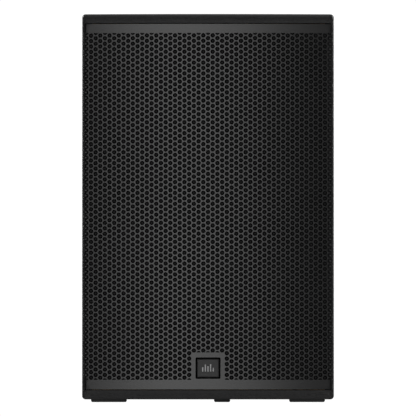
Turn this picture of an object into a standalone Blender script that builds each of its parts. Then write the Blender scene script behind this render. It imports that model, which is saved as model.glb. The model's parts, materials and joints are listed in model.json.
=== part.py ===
"""A powered two-way 12-inch PA loudspeaker cabinet, modelled piece by piece.

Metres, +Z up. The grille faces -Y and +X is on the viewer's right. The origin is on the floor, under the
middle of the cabinet's bounding box. The plan is asymmetric: the right side ends in a wedge panel, on which
the cabinet lies as a floor monitor.
"""

import math

import bmesh
import bpy

# --- driving dimensions ---------------------------------------------------------------------------------

WIDTH = 0.372
DEPTH = 0.356
HEIGHT = 0.573  # feet included
FOOT_HEIGHT = 0.004
WALL = 0.0135  # plywood and its textured paint
EDGE_ROUND = 0.0054
FRONT_ROUND = 0.011
GAP = 0.0003  # left between pieces that touch
BOW_RADIUS = 0.916  # of the front, seen from above

FRONT_LEFT_X = -0.18695  # the corner before its rounding, which brings the edge in to half the width
REAR_LEFT_X = -0.158
WEDGE_START_Y = -0.015
WEDGE_ANGLE = math.radians(35)

GRILLE_SHEET = 0.0015
GRILLE_SETBACK = 0.0018
GRILLE_HALF_WIDTH = 0.1812
GRILLE_BEND = 0.0018
GRILLE_FLANGE_END_Y = -0.142
GRILLE_END_GAP = 0.001
REBATE_HALF_WIDTH = 0.1822
REBATE_END_Y = -0.1403
FOAM_THICKNESS = 0.005

BADGE_HALF = (0.0163, 0.01355)
BADGE_Z = 0.05015
BADGE_WINDOW_HALF = (0.01845, 0.0158)

BAFFLE_FRONT_Y = -0.138
BAFFLE_REAR_Y = -0.123

WOOFER_Z = 0.184
CONE_RIM_Y = -0.1435
HORN_Z = 0.452
HORN_MOUTH_HALF = (0.108, 0.083)
HORN_FLANGE_HALF = (0.120, 0.095)
THROAT_RADIUS = 0.0127
THROAT_Y = -0.028

PORT_X = (0.124, 0.156)
PORT_Z = (0.385, 0.525)
PORT_END_Y = -0.040

AMP_X = (-0.142, 0.034)
AMP_Z = (0.079, 0.481)
AMP_RIM = 0.012
AMP_FACE_Y = 0.1777
AMP_SHEET = 0.002
AMP_RECESS = 0.022
FLOOR_Y = AMP_FACE_Y - AMP_RECESS  # the outer face of the recess's floor

CHANNEL_X = (-0.104, -0.062)
RIGHT_COLUMN_X = -0.016
KNOB_Z = 0.240
BUTTON_Z = 0.203
JACK_Z = 0.165
POWER_Z = 0.115
INLET_X = -0.088
JACK_RADIUS = 0.0118
ROCKER_TILT = math.radians(11)
ROCKER_PIVOT_Y = FLOOR_Y - 0.0007

POLE_PLACE = (0.0, -0.020)
PLUG_PLACES = ((-0.125, -0.085), (0.125, -0.085))

TURN_STEPS = 28
SMALL_TURN_STEPS = 20

# --- the scene and its finishes ---------------------------------------------------------------------------

for old in list(bpy.data.objects):
    bpy.data.objects.remove(old)

PARTS = bpy.data.collections.new("pa_speaker_cabinet")
CUTTERS = bpy.data.collections.new("cutters")
CUTTERS.hide_render = True
for collection in (PARTS, CUTTERS):
    bpy.context.scene.collection.children.link(collection)

FINISHES = {  # colour, roughness, metallic
    "textured_paint": ((0.022, 0.022, 0.023), 0.85, 0.0),
    "grille_paint": ((0.060, 0.060, 0.062), 0.50, 0.0),
    "raw_plywood": ((0.480, 0.330, 0.190), 0.70, 0.0),
    "open_cell_foam": ((0.012, 0.012, 0.013), 0.95, 0.0),
    "badge_metal": ((0.045, 0.045, 0.047), 0.40, 0.6),
    "rubber": ((0.012, 0.012, 0.012), 0.90, 0.0),
    "moulded_plastic": ((0.020, 0.020, 0.021), 0.55, 0.0),
    "cast_metal": ((0.050, 0.050, 0.052), 0.50, 0.8),
    "steel": ((0.550, 0.550, 0.560), 0.30, 1.0),
    "ferrite": ((0.040, 0.040, 0.042), 0.60, 0.0),
    "paper_cone": ((0.030, 0.029, 0.028), 0.80, 0.0),
    "treated_cloth": ((0.050, 0.040, 0.030), 0.85, 0.0),
    "coil_copper": ((0.650, 0.330, 0.180), 0.35, 1.0),
    "titanium": ((0.450, 0.450, 0.470), 0.25, 1.0),
    "wadding": ((0.700, 0.700, 0.690), 0.95, 0.0),
    "panel_paint": ((0.030, 0.030, 0.032), 0.55, 0.0),
    "anodised_aluminium": ((0.025, 0.025, 0.027), 0.45, 0.9),
    "circuit_board": ((0.020, 0.110, 0.050), 0.45, 0.0),
    "light_plastic": ((0.550, 0.550, 0.540), 0.45, 0.0),
}


def finish(name):
    """The Principled material of this name, made when it is first asked for."""
    found = bpy.data.materials.get(name)
    if found:
        return found
    colour, roughness, metallic = FINISHES[name]
    made = bpy.data.materials.new(name)
    made.use_nodes = True
    shader = made.node_tree.nodes["Principled BSDF"]
    shader.inputs["Base Color"].default_value = (*colour, 1.0)
    shader.inputs["Roughness"].default_value = roughness
    shader.inputs["Metallic"].default_value = metallic
    return made


# --- making and combining solids --------------------------------------------------------------------------


def placed(name, mesh, look=None):
    """A new object: a part if it has a look, or else a hidden cutter."""
    made = bpy.data.objects.new(name, mesh)
    if look:
        mesh.materials.append(finish(look))
        PARTS.objects.link(made)
    else:
        CUTTERS.objects.link(made)
        made.hide_render = True
        made.display_type = "WIRE"
    return made


def filled_mesh(name, shape):
    bmesh.ops.recalc_face_normals(shape, faces=shape.faces)
    mesh = bpy.data.meshes.new(name)
    shape.to_mesh(mesh)
    shape.free()
    return mesh


def block(name, low, high, look=None):
    """A box between its lowest and highest corners."""
    return blocks(name, [(low, high)], look)


def blocks(name, corners, look=None):
    """One object that holds a box for each pair of corners."""
    shape = bmesh.new()
    for low, high in corners:
        made = bmesh.ops.create_cube(shape, size=1.0)["verts"]
        size = [b - a for a, b in zip(low, high)]
        middle = [(a + b) / 2 for a, b in zip(low, high)]
        bmesh.ops.scale(shape, vec=size, verts=made)
        bmesh.ops.translate(shape, vec=middle, verts=made)
    return placed(name, filled_mesh(name, shape), look)


def prism(name, outline, start, end, axis="Z", look=None):
    """A flat outline pushed along an axis. Its pairs are (x, y) for Z, (x, z) for Y and (y, z) for X."""
    order = {"X": (2, 0, 1), "Y": (0, 2, 1), "Z": (0, 1, 2)}[axis]
    shape = bmesh.new()
    face = shape.faces.new([shape.verts.new([(*pair, start)[i] for i in order]) for pair in outline])
    pushed = bmesh.ops.extrude_face_region(shape, geom=[face])["geom"]
    path = [(0, 0, end - start)[i] for i in order]
    far_corners = [item for item in pushed if isinstance(item, bmesh.types.BMVert)]
    bmesh.ops.translate(shape, vec=path, verts=far_corners)
    return placed(name, filled_mesh(name, shape), look)


def turned(name, profile, centre, axis="Y", look=None, steps=TURN_STEPS):
    """A profile of (radius, distance along the axis) turned round the axis through centre.

    centre is (x, z) for an axis along Y and (x, y) for one along Z. A profile that stays off the axis is
    closed into a ring, and one that starts and ends on the axis is a full solid.
    """
    ring = min(profile[0][0], profile[-1][0]) > 0
    area = sum(a[0] * b[1] - b[0] * a[1] for a, b in zip(profile, profile[1:] + profile[:1]))
    points = profile if area < 0 else profile[::-1]
    edges = [(i, i + 1) for i in range(len(points) - 1)]
    if ring:
        edges.append((len(points) - 1, 0))
    mesh = bpy.data.meshes.new(name)
    mesh.from_pydata([(radius, 0, along) for radius, along in points], edges, [])
    made = placed(name, mesh, look)
    screw = made.modifiers.new("turn", "SCREW")
    screw.axis = "Z"
    screw.steps = screw.render_steps = steps
    screw.use_merge_vertices = True
    screw.merge_threshold = 0.00001
    screw.use_smooth_shade = True
    if axis == "Y":
        made.location = (centre[0], 0, centre[1])
        made.rotation_euler = (-math.pi / 2, 0, 0)
    else:
        made.location = (*centre, 0)
    return made


def cylinder(name, radius, start, end, centre, axis="Y", look=None, steps=TURN_STEPS):
    return turned(name, [(0, end), (radius, end), (radius, start), (0, start)], centre, axis, look, steps)


def combine(target, other, operation):
    modifier = target.modifiers.new(other.name, "BOOLEAN")
    modifier.operation = operation
    modifier.object = other
    modifier.solver = "EXACT"
    return target


def cut(target, *cutters):
    for cutter in cutters:
        combine(target, cutter, "DIFFERENCE")
    return target


def join(target, *others):
    for other in others:
        combine(target, other, "UNION")
    return target


def arc(centre, radius, start, end, segments):
    """Points on an arc, its angles in degrees from +X."""
    angles = [math.radians(start + (end - start) * i / segments) for i in range(segments + 1)]
    return [(centre[0] + radius * math.cos(a), centre[1] + radius * math.sin(a)) for a in angles]


def rounded_rectangle(middle, half, radius, segments=4):
    points = []
    for quarter, (right, up) in enumerate(((1, 1), (-1, 1), (-1, -1), (1, -1))):
        corner = (middle[0] + right * (half[0] - radius), middle[1] + up * (half[1] - radius))
        points += arc(corner, radius, 90 * quarter, 90 * quarter + 90, segments)
    return points


# --- the plan ---------------------------------------------------------------------------------------------


def bow_y(x, setback=0.0):
    """The front's y at this x. A setback gives the concentric arc that lies so far behind it."""
    radius = BOW_RADIUS - setback
    return -DEPTH / 2 + BOW_RADIUS - math.sqrt(radius * radius - x * x)


def bow(x_start, x_end, setback=0.0, segments=20):
    steps = [x_start + (x_end - x_start) * i / segments for i in range(segments + 1)]
    return [(x, bow_y(x, setback)) for x in steps]


def left_wall_x(y):
    """The outer face of the left side, which leans in towards the back."""
    return FRONT_LEFT_X + (y - bow_y(FRONT_LEFT_X)) * math.tan(LEFT_LEAN)


LEFT_LEAN = math.atan((REAR_LEFT_X - FRONT_LEFT_X) / (DEPTH / 2 - bow_y(FRONT_LEFT_X)))
REAR_RIGHT_X = WIDTH / 2 - (DEPTH / 2 - WEDGE_START_Y) * math.tan(WEDGE_ANGLE)
BODY_PLAN = [
    *bow(FRONT_LEFT_X, WIDTH / 2),
    (WIDTH / 2, WEDGE_START_Y),
    (REAR_RIGHT_X, DEPTH / 2),
    (REAR_LEFT_X, DEPTH / 2),
]
PAST_FRONT_Y = -DEPTH / 2 - 0.01
WALL_PLAN = [  # the walls' corners, run on past the bowed front
    (left_wall_x(PAST_FRONT_Y), PAST_FRONT_Y),
    (WIDTH / 2, PAST_FRONT_Y),
    *BODY_PLAN[-3:],
]


def inset(corners, distances):
    """The polygon whose edges lie inside this one's by one distance each. Edge i starts at corner i."""
    moved = []
    for i, (x, y) in enumerate(corners):
        lines = []
        for first, second in ((i - 1, i), (i, (i + 1) % len(corners))):
            dx = corners[second][0] - corners[first][0]
            dy = corners[second][1] - corners[first][1]
            length = math.hypot(dx, dy)
            normal = (-dy / length, dx / length)
            lines.append((*normal, normal[0] * x + normal[1] * y + distances[first]))
        (a, b, e), (c, d, f) = lines
        scale = a * d - b * c
        moved.append(((e * d - b * f) / scale, (a * f - e * c) / scale))
    return moved


def wall_strip(edge, inner, outer=-0.005):
    """One wall's plan, mitred at its corners and run on past its outer face, which the body trims."""
    distances = [0.0] + [outer] * 4
    outside = inset(WALL_PLAN, distances)
    inside = inset(WALL_PLAN, [0.0] + [inner] * 4)
    following = (edge + 1) % 5
    dx = WALL_PLAN[following][0] - WALL_PLAN[edge][0]
    dy = WALL_PLAN[following][1] - WALL_PLAN[edge][1]
    step = 0.7 * GAP / math.hypot(dx, dy)

    def shifted(point, sign):
        return (point[0] + sign * step * dx, point[1] + sign * step * dy)

    return [
        shifted(outside[edge], 1),
        shifted(outside[following], -1),
        shifted(inside[following], -1),
        shifted(inside[edge], 1),
    ]


INNER_LOW_Z = FOOT_HEIGHT + WALL
INNER_HIGH_Z = HEIGHT - WALL


# --- the cabinet ------------------------------------------------------------------------------------------


def edge_round(first, second):
    """The rounding of a body edge between two corners: wide round the front, and none along the bow."""
    in_front = max(first.y, second.y) < bow_y(FRONT_LEFT_X) + 0.001
    upright = abs(first.z - second.z) > 0.001
    if in_front and upright and FRONT_LEFT_X + 0.001 < first.x < WIDTH / 2 - 0.001:
        return 0.0
    return FRONT_ROUND if in_front else EDGE_ROUND


def make_body():
    """The whole cabinet's outside with its rounded edges. Each panel is the part of it in its own place."""
    body = prism("body_outside", BODY_PLAN, FOOT_HEIGHT, HEIGHT)
    corners = [vertex.co for vertex in body.data.vertices]
    weights = body.data.attributes.new("bevel_weight_edge", "FLOAT", "EDGE")
    for edge, weight in zip(body.data.edges, weights.data):
        weight.value = edge_round(*(corners[i] for i in edge.vertices)) / FRONT_ROUND
    bevel = body.modifiers.new("round", "BEVEL")
    bevel.width = FRONT_ROUND
    bevel.segments = 3
    bevel.limit_method = "WEIGHT"
    return body


def make_panels():
    body = make_body()
    whole = inset(WALL_PLAN, [-0.01] * 5)
    over = 0.01
    top = prism("top_panel", whole, INNER_HIGH_Z, HEIGHT + over, look="textured_paint")
    bottom = prism("bottom_panel", whole, FOOT_HEIGHT - over, INNER_LOW_Z, look="textured_paint")
    names = ("right_side_panel", "wedge_side_panel", "back_panel", "left_side_panel")
    low, high = INNER_LOW_Z + GAP, INNER_HIGH_Z - GAP
    walls = [
        prism(name, wall_strip(edge, WALL), low, high, look="textured_paint")
        for edge, name in enumerate(names, start=1)
    ]
    for panel in (top, bottom, *walls):
        combine(panel, body, "INTERSECT")
    right, _, back, left = walls
    rebate = block(
        "grille_rebate",
        (-REBATE_HALF_WIDTH, PAST_FRONT_Y - over, 0),
        (REBATE_HALF_WIDTH, REBATE_END_Y, HEIGHT),
    )
    cut(right, rebate)
    cut(left, rebate)
    return top, bottom, back, left


def make_baffle():
    right_x = WIDTH / 2 - WALL - GAP
    lean = (WALL + GAP) / math.cos(LEFT_LEAN)
    outline = [
        (left_wall_x(BAFFLE_FRONT_Y) + lean, BAFFLE_FRONT_Y),
        (right_x, BAFFLE_FRONT_Y),
        (right_x, BAFFLE_REAR_Y),
        (left_wall_x(BAFFLE_REAR_Y) + lean, BAFFLE_REAR_Y),
    ]
    baffle = prism("front_baffle", outline, INNER_LOW_Z + GAP, INNER_HIGH_Z - GAP, look="raw_plywood")
    through = (BAFFLE_FRONT_Y - 0.01, BAFFLE_REAR_Y + 0.01)
    cut(baffle, cylinder("woofer_hole", 0.1415, *through, (0, WOOFER_Z)))
    half = [size + 0.0045 for size in HORN_MOUTH_HALF]
    cut(baffle, prism("horn_hole", rounded_rectangle((0, HORN_Z), half, 0.02), *through, "Y"))
    for side in (-1, 1):
        x_low, x_high = sorted((side * (PORT_X[0] - GAP), side * (PORT_X[1] + GAP)))
        low = (x_low, through[0], PORT_Z[0] - GAP)
        high = (x_high, through[1], PORT_Z[1] + GAP)
        cut(baffle, block("port_hole", low, high))


def make_ports():
    wall = 0.0025
    for side, name in ((-1, "port_duct_left"), (1, "port_duct_right")):
        x_low, x_high = sorted((side * PORT_X[0], side * PORT_X[1]))
        duct = block(
            name, (x_low, BAFFLE_FRONT_Y, PORT_Z[0]), (x_high, PORT_END_Y, PORT_Z[1]), "moulded_plastic"
        )
        inside = block(
            name + "_inside",
            (x_low + wall, BAFFLE_FRONT_Y - 0.01, PORT_Z[0] + wall),
            (x_high - wall, PORT_END_Y + 0.01, PORT_Z[1] - wall),
        )
        cut(duct, inside)


def make_feet():
    """Four rubber feet under the base and two rubber strips on the wedge side."""
    long_half, short_half, chamfer = 0.02635, 0.012, 0.0015
    feet = {
        "foot_front_left": (-0.1464, -0.136, long_half, short_half),
        "foot_front_right": (0.1464, -0.136, long_half, short_half),
        "foot_rear_left": (-0.137, 0.130, short_half, long_half),
        "foot_rear_right": (0.02105, 0.130, short_half, long_half),
    }
    for name, (x, y, half_x, half_y) in feet.items():
        outline = rounded_rectangle((x, y), (half_x, half_y), 0.004, 3)
        foot = prism(name, outline, 0, FOOT_HEIGHT - GAP, look="rubber")
        for vertex in foot.data.vertices:
            if vertex.co.z < chamfer:
                vertex.co.x = x + (vertex.co.x - x) * (1 - chamfer / half_x)
                vertex.co.y = y + (vertex.co.y - y) * (1 - chamfer / half_y)
    middle = (0.5 * (WIDTH / 2 + REAR_RIGHT_X), 0.5 * (WEDGE_START_Y + DEPTH / 2))
    for name, z in (("wedge_foot_lower", 0.085), ("wedge_foot_upper", 0.492)):
        outline = rounded_rectangle((0, z), (0.075, short_half), 0.004, 3)
        strip = prism(name, outline, GAP, 0.0035, "Y", "rubber")
        strip.location = (*middle, 0)
        strip.rotation_euler = (0, 0, -(math.pi / 2 - WEDGE_ANGLE))


def make_pole_socket(bottom):
    flange_z = FOOT_HEIGHT + GAP
    flange_top = flange_z + 0.0027
    closed_z, bore_z = 0.084, 0.080
    bore, tube, flange = 0.0182, 0.0240, 0.0400
    profile = [
        (0, closed_z),
        (tube, closed_z),
        (tube, flange_top),
        (flange, flange_top),
        (flange, flange_z),
        (bore, flange_z),
        (bore, bore_z),
        (0, bore_z),
    ]
    turned("pole_socket", profile, POLE_PLACE, "Z", "moulded_plastic")
    below = FOOT_HEIGHT - 0.01
    cut(bottom, cylinder("pole_rebate", flange + 0.0005, below, flange_top + GAP, POLE_PLACE, "Z"))
    cut(bottom, cylinder("pole_hole", tube + 0.0005, below, INNER_LOW_Z + 0.01, POLE_PLACE, "Z"))


def make_suspension_plugs(top):
    head, shank, face = 0.0100, 0.0050, HEIGHT - GAP
    for number, place in enumerate(PLUG_PLACES, start=1):
        profile = [
            (0, face),
            (head, face),
            (head, face - 0.0025),
            (shank, face - 0.0025),
            (shank, INNER_HIGH_Z - 0.008),
            (0, INNER_HIGH_Z - 0.008),
        ]
        turned(f"suspension_plug_{number}", profile, place, "Z", "steel", SMALL_TURN_STEPS)
        sizes = ((head, face - 0.0028), (shank, INNER_HIGH_Z - 0.01))
        for label, (radius, start) in zip(("head", "shank"), sizes):
            hole = cylinder(f"plug_{label}_{number}", radius + 0.0004, start, HEIGHT + 0.01, place, "Z",
                            steps=SMALL_TURN_STEPS)
            cut(top, hole)


# --- the handles ------------------------------------------------------------------------------------------

CUP_HALF = (0.075, 0.045)
CUP_SHELL = 0.0025
CUP_FLANGE = 0.010
GRIP_RADIUS = 0.0105


def make_handle(name, frame, depth, proud, grip_depth):
    """A cup with its grip bar, in a frame whose XY plane is the wall's face: the cup goes down from it."""
    outer = [half + CUP_FLANGE for half in CUP_HALF]
    inner = [half - CUP_SHELL for half in CUP_HALF]
    cup = prism(name + "_cup", rounded_rectangle((0, 0), outer, 0.014), -CUP_SHELL + proud, proud, "Z",
                "moulded_plastic")
    body = prism(name + "_cup_body", rounded_rectangle((0, 0), CUP_HALF, 0.020), -depth, proud - 0.001)
    hollow = prism(name + "_cup_hollow", rounded_rectangle((0, 0), inner, 0.0175), -depth + CUP_SHELL,
                   proud + 0.01)
    cut(join(cup, body), hollow)
    half_length = inner[0] - GAP
    grip = turned(
        name + "_grip",
        [
            (0, half_length),
            (GRIP_RADIUS * 1.25, half_length),
            (GRIP_RADIUS, half_length - 0.012),
            (GRIP_RADIUS, -half_length + 0.012),
            (GRIP_RADIUS * 1.25, -half_length),
            (0, -half_length),
        ],
        (0, 0),
        "Z",
        "rubber",
        SMALL_TURN_STEPS,
    )
    grip.rotation_euler = (0, math.pi / 2, 0)
    grip.location = (0, 0, -grip_depth)
    hole = prism(name + "_hole", rounded_rectangle((0, 0), [h + 0.0005 for h in CUP_HALF], 0.0205),
                 -WALL - 0.03, 0.03)
    for piece in (cup, body, hollow, grip, hole):
        piece.parent = frame
    return hole


def empty_frame(name, location, rotation=(0, 0, 0)):
    frame = bpy.data.objects.new(name, None)
    PARTS.objects.link(frame)
    frame.location = location
    frame.rotation_euler = rotation
    return frame


def make_side_handle(left):
    """The cup lies in the left side, with its bar upright: local Z points out of the wall."""
    frame = empty_frame("side_handle_frame", (left_wall_x(0), 0, 0.300), (0, -math.pi / 2, -LEFT_LEAN))
    cut(left, make_handle("side_handle", frame, 0.052, 0.0028, 0.014))


def make_top_handle(top):
    """The cup's flange lies flush in a seat in the top."""
    frame = empty_frame("top_handle_frame", (-0.010, 0.020, HEIGHT))
    outer = [half + CUP_FLANGE + 0.0005 for half in CUP_HALF]
    seat = prism("top_handle_seat", rounded_rectangle((0, 0), outer, 0.0145), -CUP_SHELL - 2 * GAP, 0.02)
    seat.parent = frame
    cut(top, seat, make_handle("top_handle", frame, 0.042, -GAP, 0.0145))


# --- the grille, its foam and the badge -------------------------------------------------------------------


def bowed_sheet(setback, thickness, half_width, bend=0.0, end_y=None):
    """The plan of a bowed sheet. With a bend, its sides turn back and run straight to end_y."""
    edge = half_width - bend
    outer = bow(-edge, edge, setback)
    inner = bow(edge, -edge, setback + thickness)
    if end_y is None:
        return outer + inner
    corner_y = bow_y(edge, setback) + bend
    inside = bend - thickness
    right = arc((edge, corner_y), bend, -78, 0, 3) + [(half_width, end_y), (half_width - thickness, end_y)]
    right += arc((edge, corner_y), inside, 0, -78, 3)
    left = arc((-edge, corner_y), inside, 258, 180, 3)
    left += [(-half_width + thickness, end_y), (-half_width, end_y)]
    left += arc((-edge, corner_y), bend, 180, 258, 3)
    return outer + right + inner[1:-1] + left


def make_grille():
    low, high = INNER_LOW_Z + GRILLE_END_GAP, INNER_HIGH_Z - GRILLE_END_GAP
    outline = bowed_sheet(
        GRILLE_SETBACK, GRILLE_SHEET, GRILLE_HALF_WIDTH, GRILLE_BEND, GRILLE_FLANGE_END_Y
    )
    grille = prism("grille", outline, low, high, look="grille_paint")
    window = prism(
        "badge_window",
        rounded_rectangle((0, BADGE_Z), BADGE_WINDOW_HALF, 0.0015, 2),
        -DEPTH / 2 - 0.01,
        -DEPTH / 2 + 0.02,
        "Y",
    )
    cut(grille, window)
    foam_setback = GRILLE_SETBACK + GRILLE_SHEET + 0.0005
    foam = prism(
        "grille_foam",
        bowed_sheet(foam_setback, FOAM_THICKNESS, GRILLE_HALF_WIDTH - 0.006),
        low + 0.003,
        high - 0.003,
        look="open_cell_foam",
    )
    holder_half = [half + 0.0025 for half in BADGE_WINDOW_HALF]
    room = [half + 0.001 for half in holder_half]
    seat = prism("badge_room", rounded_rectangle((0, BADGE_Z), room, 0.002, 2),
                 -DEPTH / 2 - 0.01, -DEPTH / 2 + 0.02, "Y")
    cut(foam, seat)
    make_badge(holder_half)


def make_badge(holder_half):
    """The plate stands in the grille's window, on a holder that lies behind the sheet."""
    face_y = -DEPTH / 2 + 0.0008
    back_y = -DEPTH / 2 + GRILLE_SETBACK + GRILLE_SHEET + GAP
    plate = prism("badge_plate", rounded_rectangle((0, BADGE_Z), BADGE_HALF, 0.001, 2), face_y,
                  back_y + 0.001, "Y", "badge_metal")
    holder = prism("badge_holder", rounded_rectangle((0, BADGE_Z), holder_half, 0.0015, 2), back_y,
                   back_y + 0.002, "Y")
    join(plate, holder)


# --- the woofer -------------------------------------------------------------------------------------------

BASKET_FLANGE_Y = -0.144
SPIDER_Y = -0.062
TOP_PLATE_Y = (-0.046, -0.038)
MAGNET_Y = (-0.0377, -0.0177)
BACK_PLATE_Y = (-0.0174, -0.0094)
COIL_RADIUS = 0.0375


def make_basket():
    centre = (0, WOOFER_Z)
    seat_y = BAFFLE_FRONT_Y - GAP
    profile = [
        (0.1545, BASKET_FLANGE_Y),
        (0.1545, seat_y),
        (0.1400, seat_y),
        (0.0890, -0.066),
        (0.0890, TOP_PLATE_Y[0] - GAP),
        (0.0450, TOP_PLATE_Y[0] - GAP),
        (0.0450, -0.050),
        (0.0860, -0.050),
        (0.0860, -0.067),
        (0.1365, seat_y - 0.001),
        (0.1365, BASKET_FLANGE_Y),
    ]
    basket = turned("woofer_basket", profile, centre, look="cast_metal")
    shape = bmesh.new()
    for i in range(6):
        angle = math.radians(60 * i + 30)
        made = bmesh.ops.create_cube(shape, size=1.0)["verts"]
        bmesh.ops.scale(shape, vec=(0.060, 0.052, 0.075), verts=made)
        bmesh.ops.translate(shape, vec=(0.120, -0.098, 0), verts=made)
        for vertex in made:
            x, z = vertex.co.x, vertex.co.z
            vertex.co.x = x * math.cos(angle) - z * math.sin(angle)
            vertex.co.z = WOOFER_Z + x * math.sin(angle) + z * math.cos(angle)
    cut(basket, placed("basket_windows", filled_mesh("basket_windows", shape)))


def make_motor():
    """The top plate, the ring magnet and the back plate with its pole, all round the voice coil's gap."""
    centre = (0, WOOFER_Z)

    def ring(name, inner, outer, span, look):
        front, back = span
        turned(name, [(outer, back), (outer, front), (inner, front), (inner, back)], centre, look=look)

    ring("woofer_top_plate", COIL_RADIUS + 0.0014, 0.075, TOP_PLATE_Y, "steel")
    ring("woofer_magnet", 0.045, 0.085, MAGNET_Y, "ferrite")
    pole = COIL_RADIUS - 0.0012
    front, back = BACK_PLATE_Y
    profile = [
        (0.075, back),
        (0.075, front),
        (pole, front),
        (pole, TOP_PLATE_Y[0]),
        (0.012, TOP_PLATE_Y[0]),
        (0.012, back),
    ]
    turned("woofer_pole_plate", profile, centre, look="steel")


def make_cone():
    """The cone, its cap and the voice coil, which travel together, with the surround and the spider."""
    centre = (0, WOOFER_Z)
    neck, rim = (0.0385, -0.078), (0.122, CONE_RIM_Y)
    steps = 4

    def on_cone(t, offset=0.0):
        radius = neck[0] + (rim[0] - neck[0]) * t
        depth = neck[1] + (rim[1] - neck[1]) * (1.18 * t - 0.18 * t * t)
        return (radius, depth + offset)

    front = [on_cone(i / steps) for i in range(steps + 1)]
    back = [on_cone(i / steps, 0.0012) for i in range(steps, -1, -1)]
    turned("woofer_cone", front + back, centre, look="paper_cone")

    cap_radius, cap_y, height = 0.048, -0.0898, 0.015
    shell = 0.0008

    def dome(radius, rise, base):
        turns = [math.radians(18 * i) for i in range(6)]
        return [(radius * math.sin(a), base - rise * math.cos(a)) for a in turns]

    outside = dome(cap_radius, height, cap_y)
    inside = dome(cap_radius - shell, height - shell, cap_y)
    turned("woofer_dust_cap", outside + inside[::-1], centre, look="paper_cone")

    half_wall = 0.0004
    turned(
        "woofer_voice_coil",
        [
            (COIL_RADIUS + half_wall, -0.030),
            (COIL_RADIUS + half_wall, -0.0785),
            (COIL_RADIUS - half_wall, -0.0785),
            (COIL_RADIUS - half_wall, -0.030),
        ],
        centre,
        look="coil_copper",
    )

    sheet = 0.0007
    seat_y = BASKET_FLANGE_Y - 0.001
    roll = (0.0075, 0.0080)  # half the roll's width, and its height
    middle = 0.1290

    def half_roll(offset):
        turns = [math.radians(30 * i) for i in range(7)]
        return [
            (middle - (roll[0] + offset) * math.cos(a), seat_y - (roll[1] + offset) * math.sin(a))
            for a in turns
        ]

    over = [(0.118, seat_y), *half_roll(0.0), (0.152, seat_y)]
    under = [(0.152, seat_y + sheet), (0.1368, seat_y + sheet), *half_roll(-sheet)[1:-1][::-1],
             (0.1212, seat_y + sheet), (0.118, seat_y + sheet)]
    turned("woofer_surround", over + under, centre, look="treated_cloth")

    start, end, folds = COIL_RADIUS + 0.0009, 0.0856, 8
    ripple = [
        (start + (end - start) * i / folds, SPIDER_Y + (0.002 if i % 2 else -0.002))
        for i in range(folds + 1)
    ]
    backs = [(radius, y + sheet) for radius, y in reversed(ripple)]
    turned("woofer_spider", ripple + backs, centre, look="treated_cloth")

    gasket_y = (seat_y - GAP - 0.003, seat_y - GAP)
    turned(
        "woofer_gasket",
        [(0.152, gasket_y[1]), (0.152, gasket_y[0]), (0.140, gasket_y[0]), (0.140, gasket_y[1])],
        centre,
        look="rubber",
    )


# --- the horn and its driver ------------------------------------------------------------------------------


def oval(half_x, half_z, squareness, y, count=32):
    """A ring round the horn's axis: an ellipse at squareness 2, and squarer above it."""
    ring = []
    for i in range(count):
        angle = 2 * math.pi * (i + 0.5) / count
        c, s = math.cos(angle), math.sin(angle)
        power = 2 / squareness
        x = half_x * math.copysign(abs(c) ** power, c)
        z = half_z * math.copysign(abs(s) ** power, s)
        ring.append((x, y, HORN_Z + z))
    return ring


def loft(name, rings, look):
    """A closed skin through rings of equally many points, the last ring joined to the first."""
    shape = bmesh.new()
    loops = [[shape.verts.new(point) for point in ring] for ring in rings]
    count = len(loops[0])
    for first, second in zip(loops, loops[1:] + loops[:1]):
        for i in range(count):
            j = (i + 1) % count
            shape.faces.new((first[i], first[j], second[j], second[i]))
    made = placed(name, filled_mesh(name, shape), look)
    made.data.shade_smooth()
    made.data.set_sharp_from_angle(angle=math.radians(35))
    return made


def make_horn():
    shell, mouth_y, steps = 0.003, BAFFLE_FRONT_Y - GAP - 0.0037, 5
    flange_y = BAFFLE_FRONT_Y - GAP
    throat_plate, throat_plate_y = 0.045, THROAT_Y - 0.006

    def section(t, extra, y):
        grow = t ** 1.5
        half_x = THROAT_RADIUS + (HORN_MOUTH_HALF[0] - THROAT_RADIUS) * grow + extra
        half_z = THROAT_RADIUS + (HORN_MOUTH_HALF[1] - THROAT_RADIUS) * grow + extra
        return oval(half_x, half_z, 2 + 3 * t, y)

    rings = [section(i / steps, 0.0, THROAT_Y + (mouth_y - THROAT_Y) * i / steps) for i in range(steps + 1)]
    rings.append(oval(*HORN_FLANGE_HALF, 14, mouth_y))
    rings.append(oval(*HORN_FLANGE_HALF, 14, flange_y))
    for i in range(steps, 0, -1):
        y = throat_plate_y + (flange_y - throat_plate_y) * i / steps
        t = (y - THROAT_Y) / (mouth_y - THROAT_Y)
        rings.append(section(t, shell, y))
    rings.append(oval(0.0185, 0.0185, 2, throat_plate_y))
    rings.append(oval(throat_plate, throat_plate, 2, throat_plate_y))
    rings.append(oval(throat_plate, throat_plate, 2, THROAT_Y))
    loft("waveguide_horn", rings, "moulded_plastic")


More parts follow.
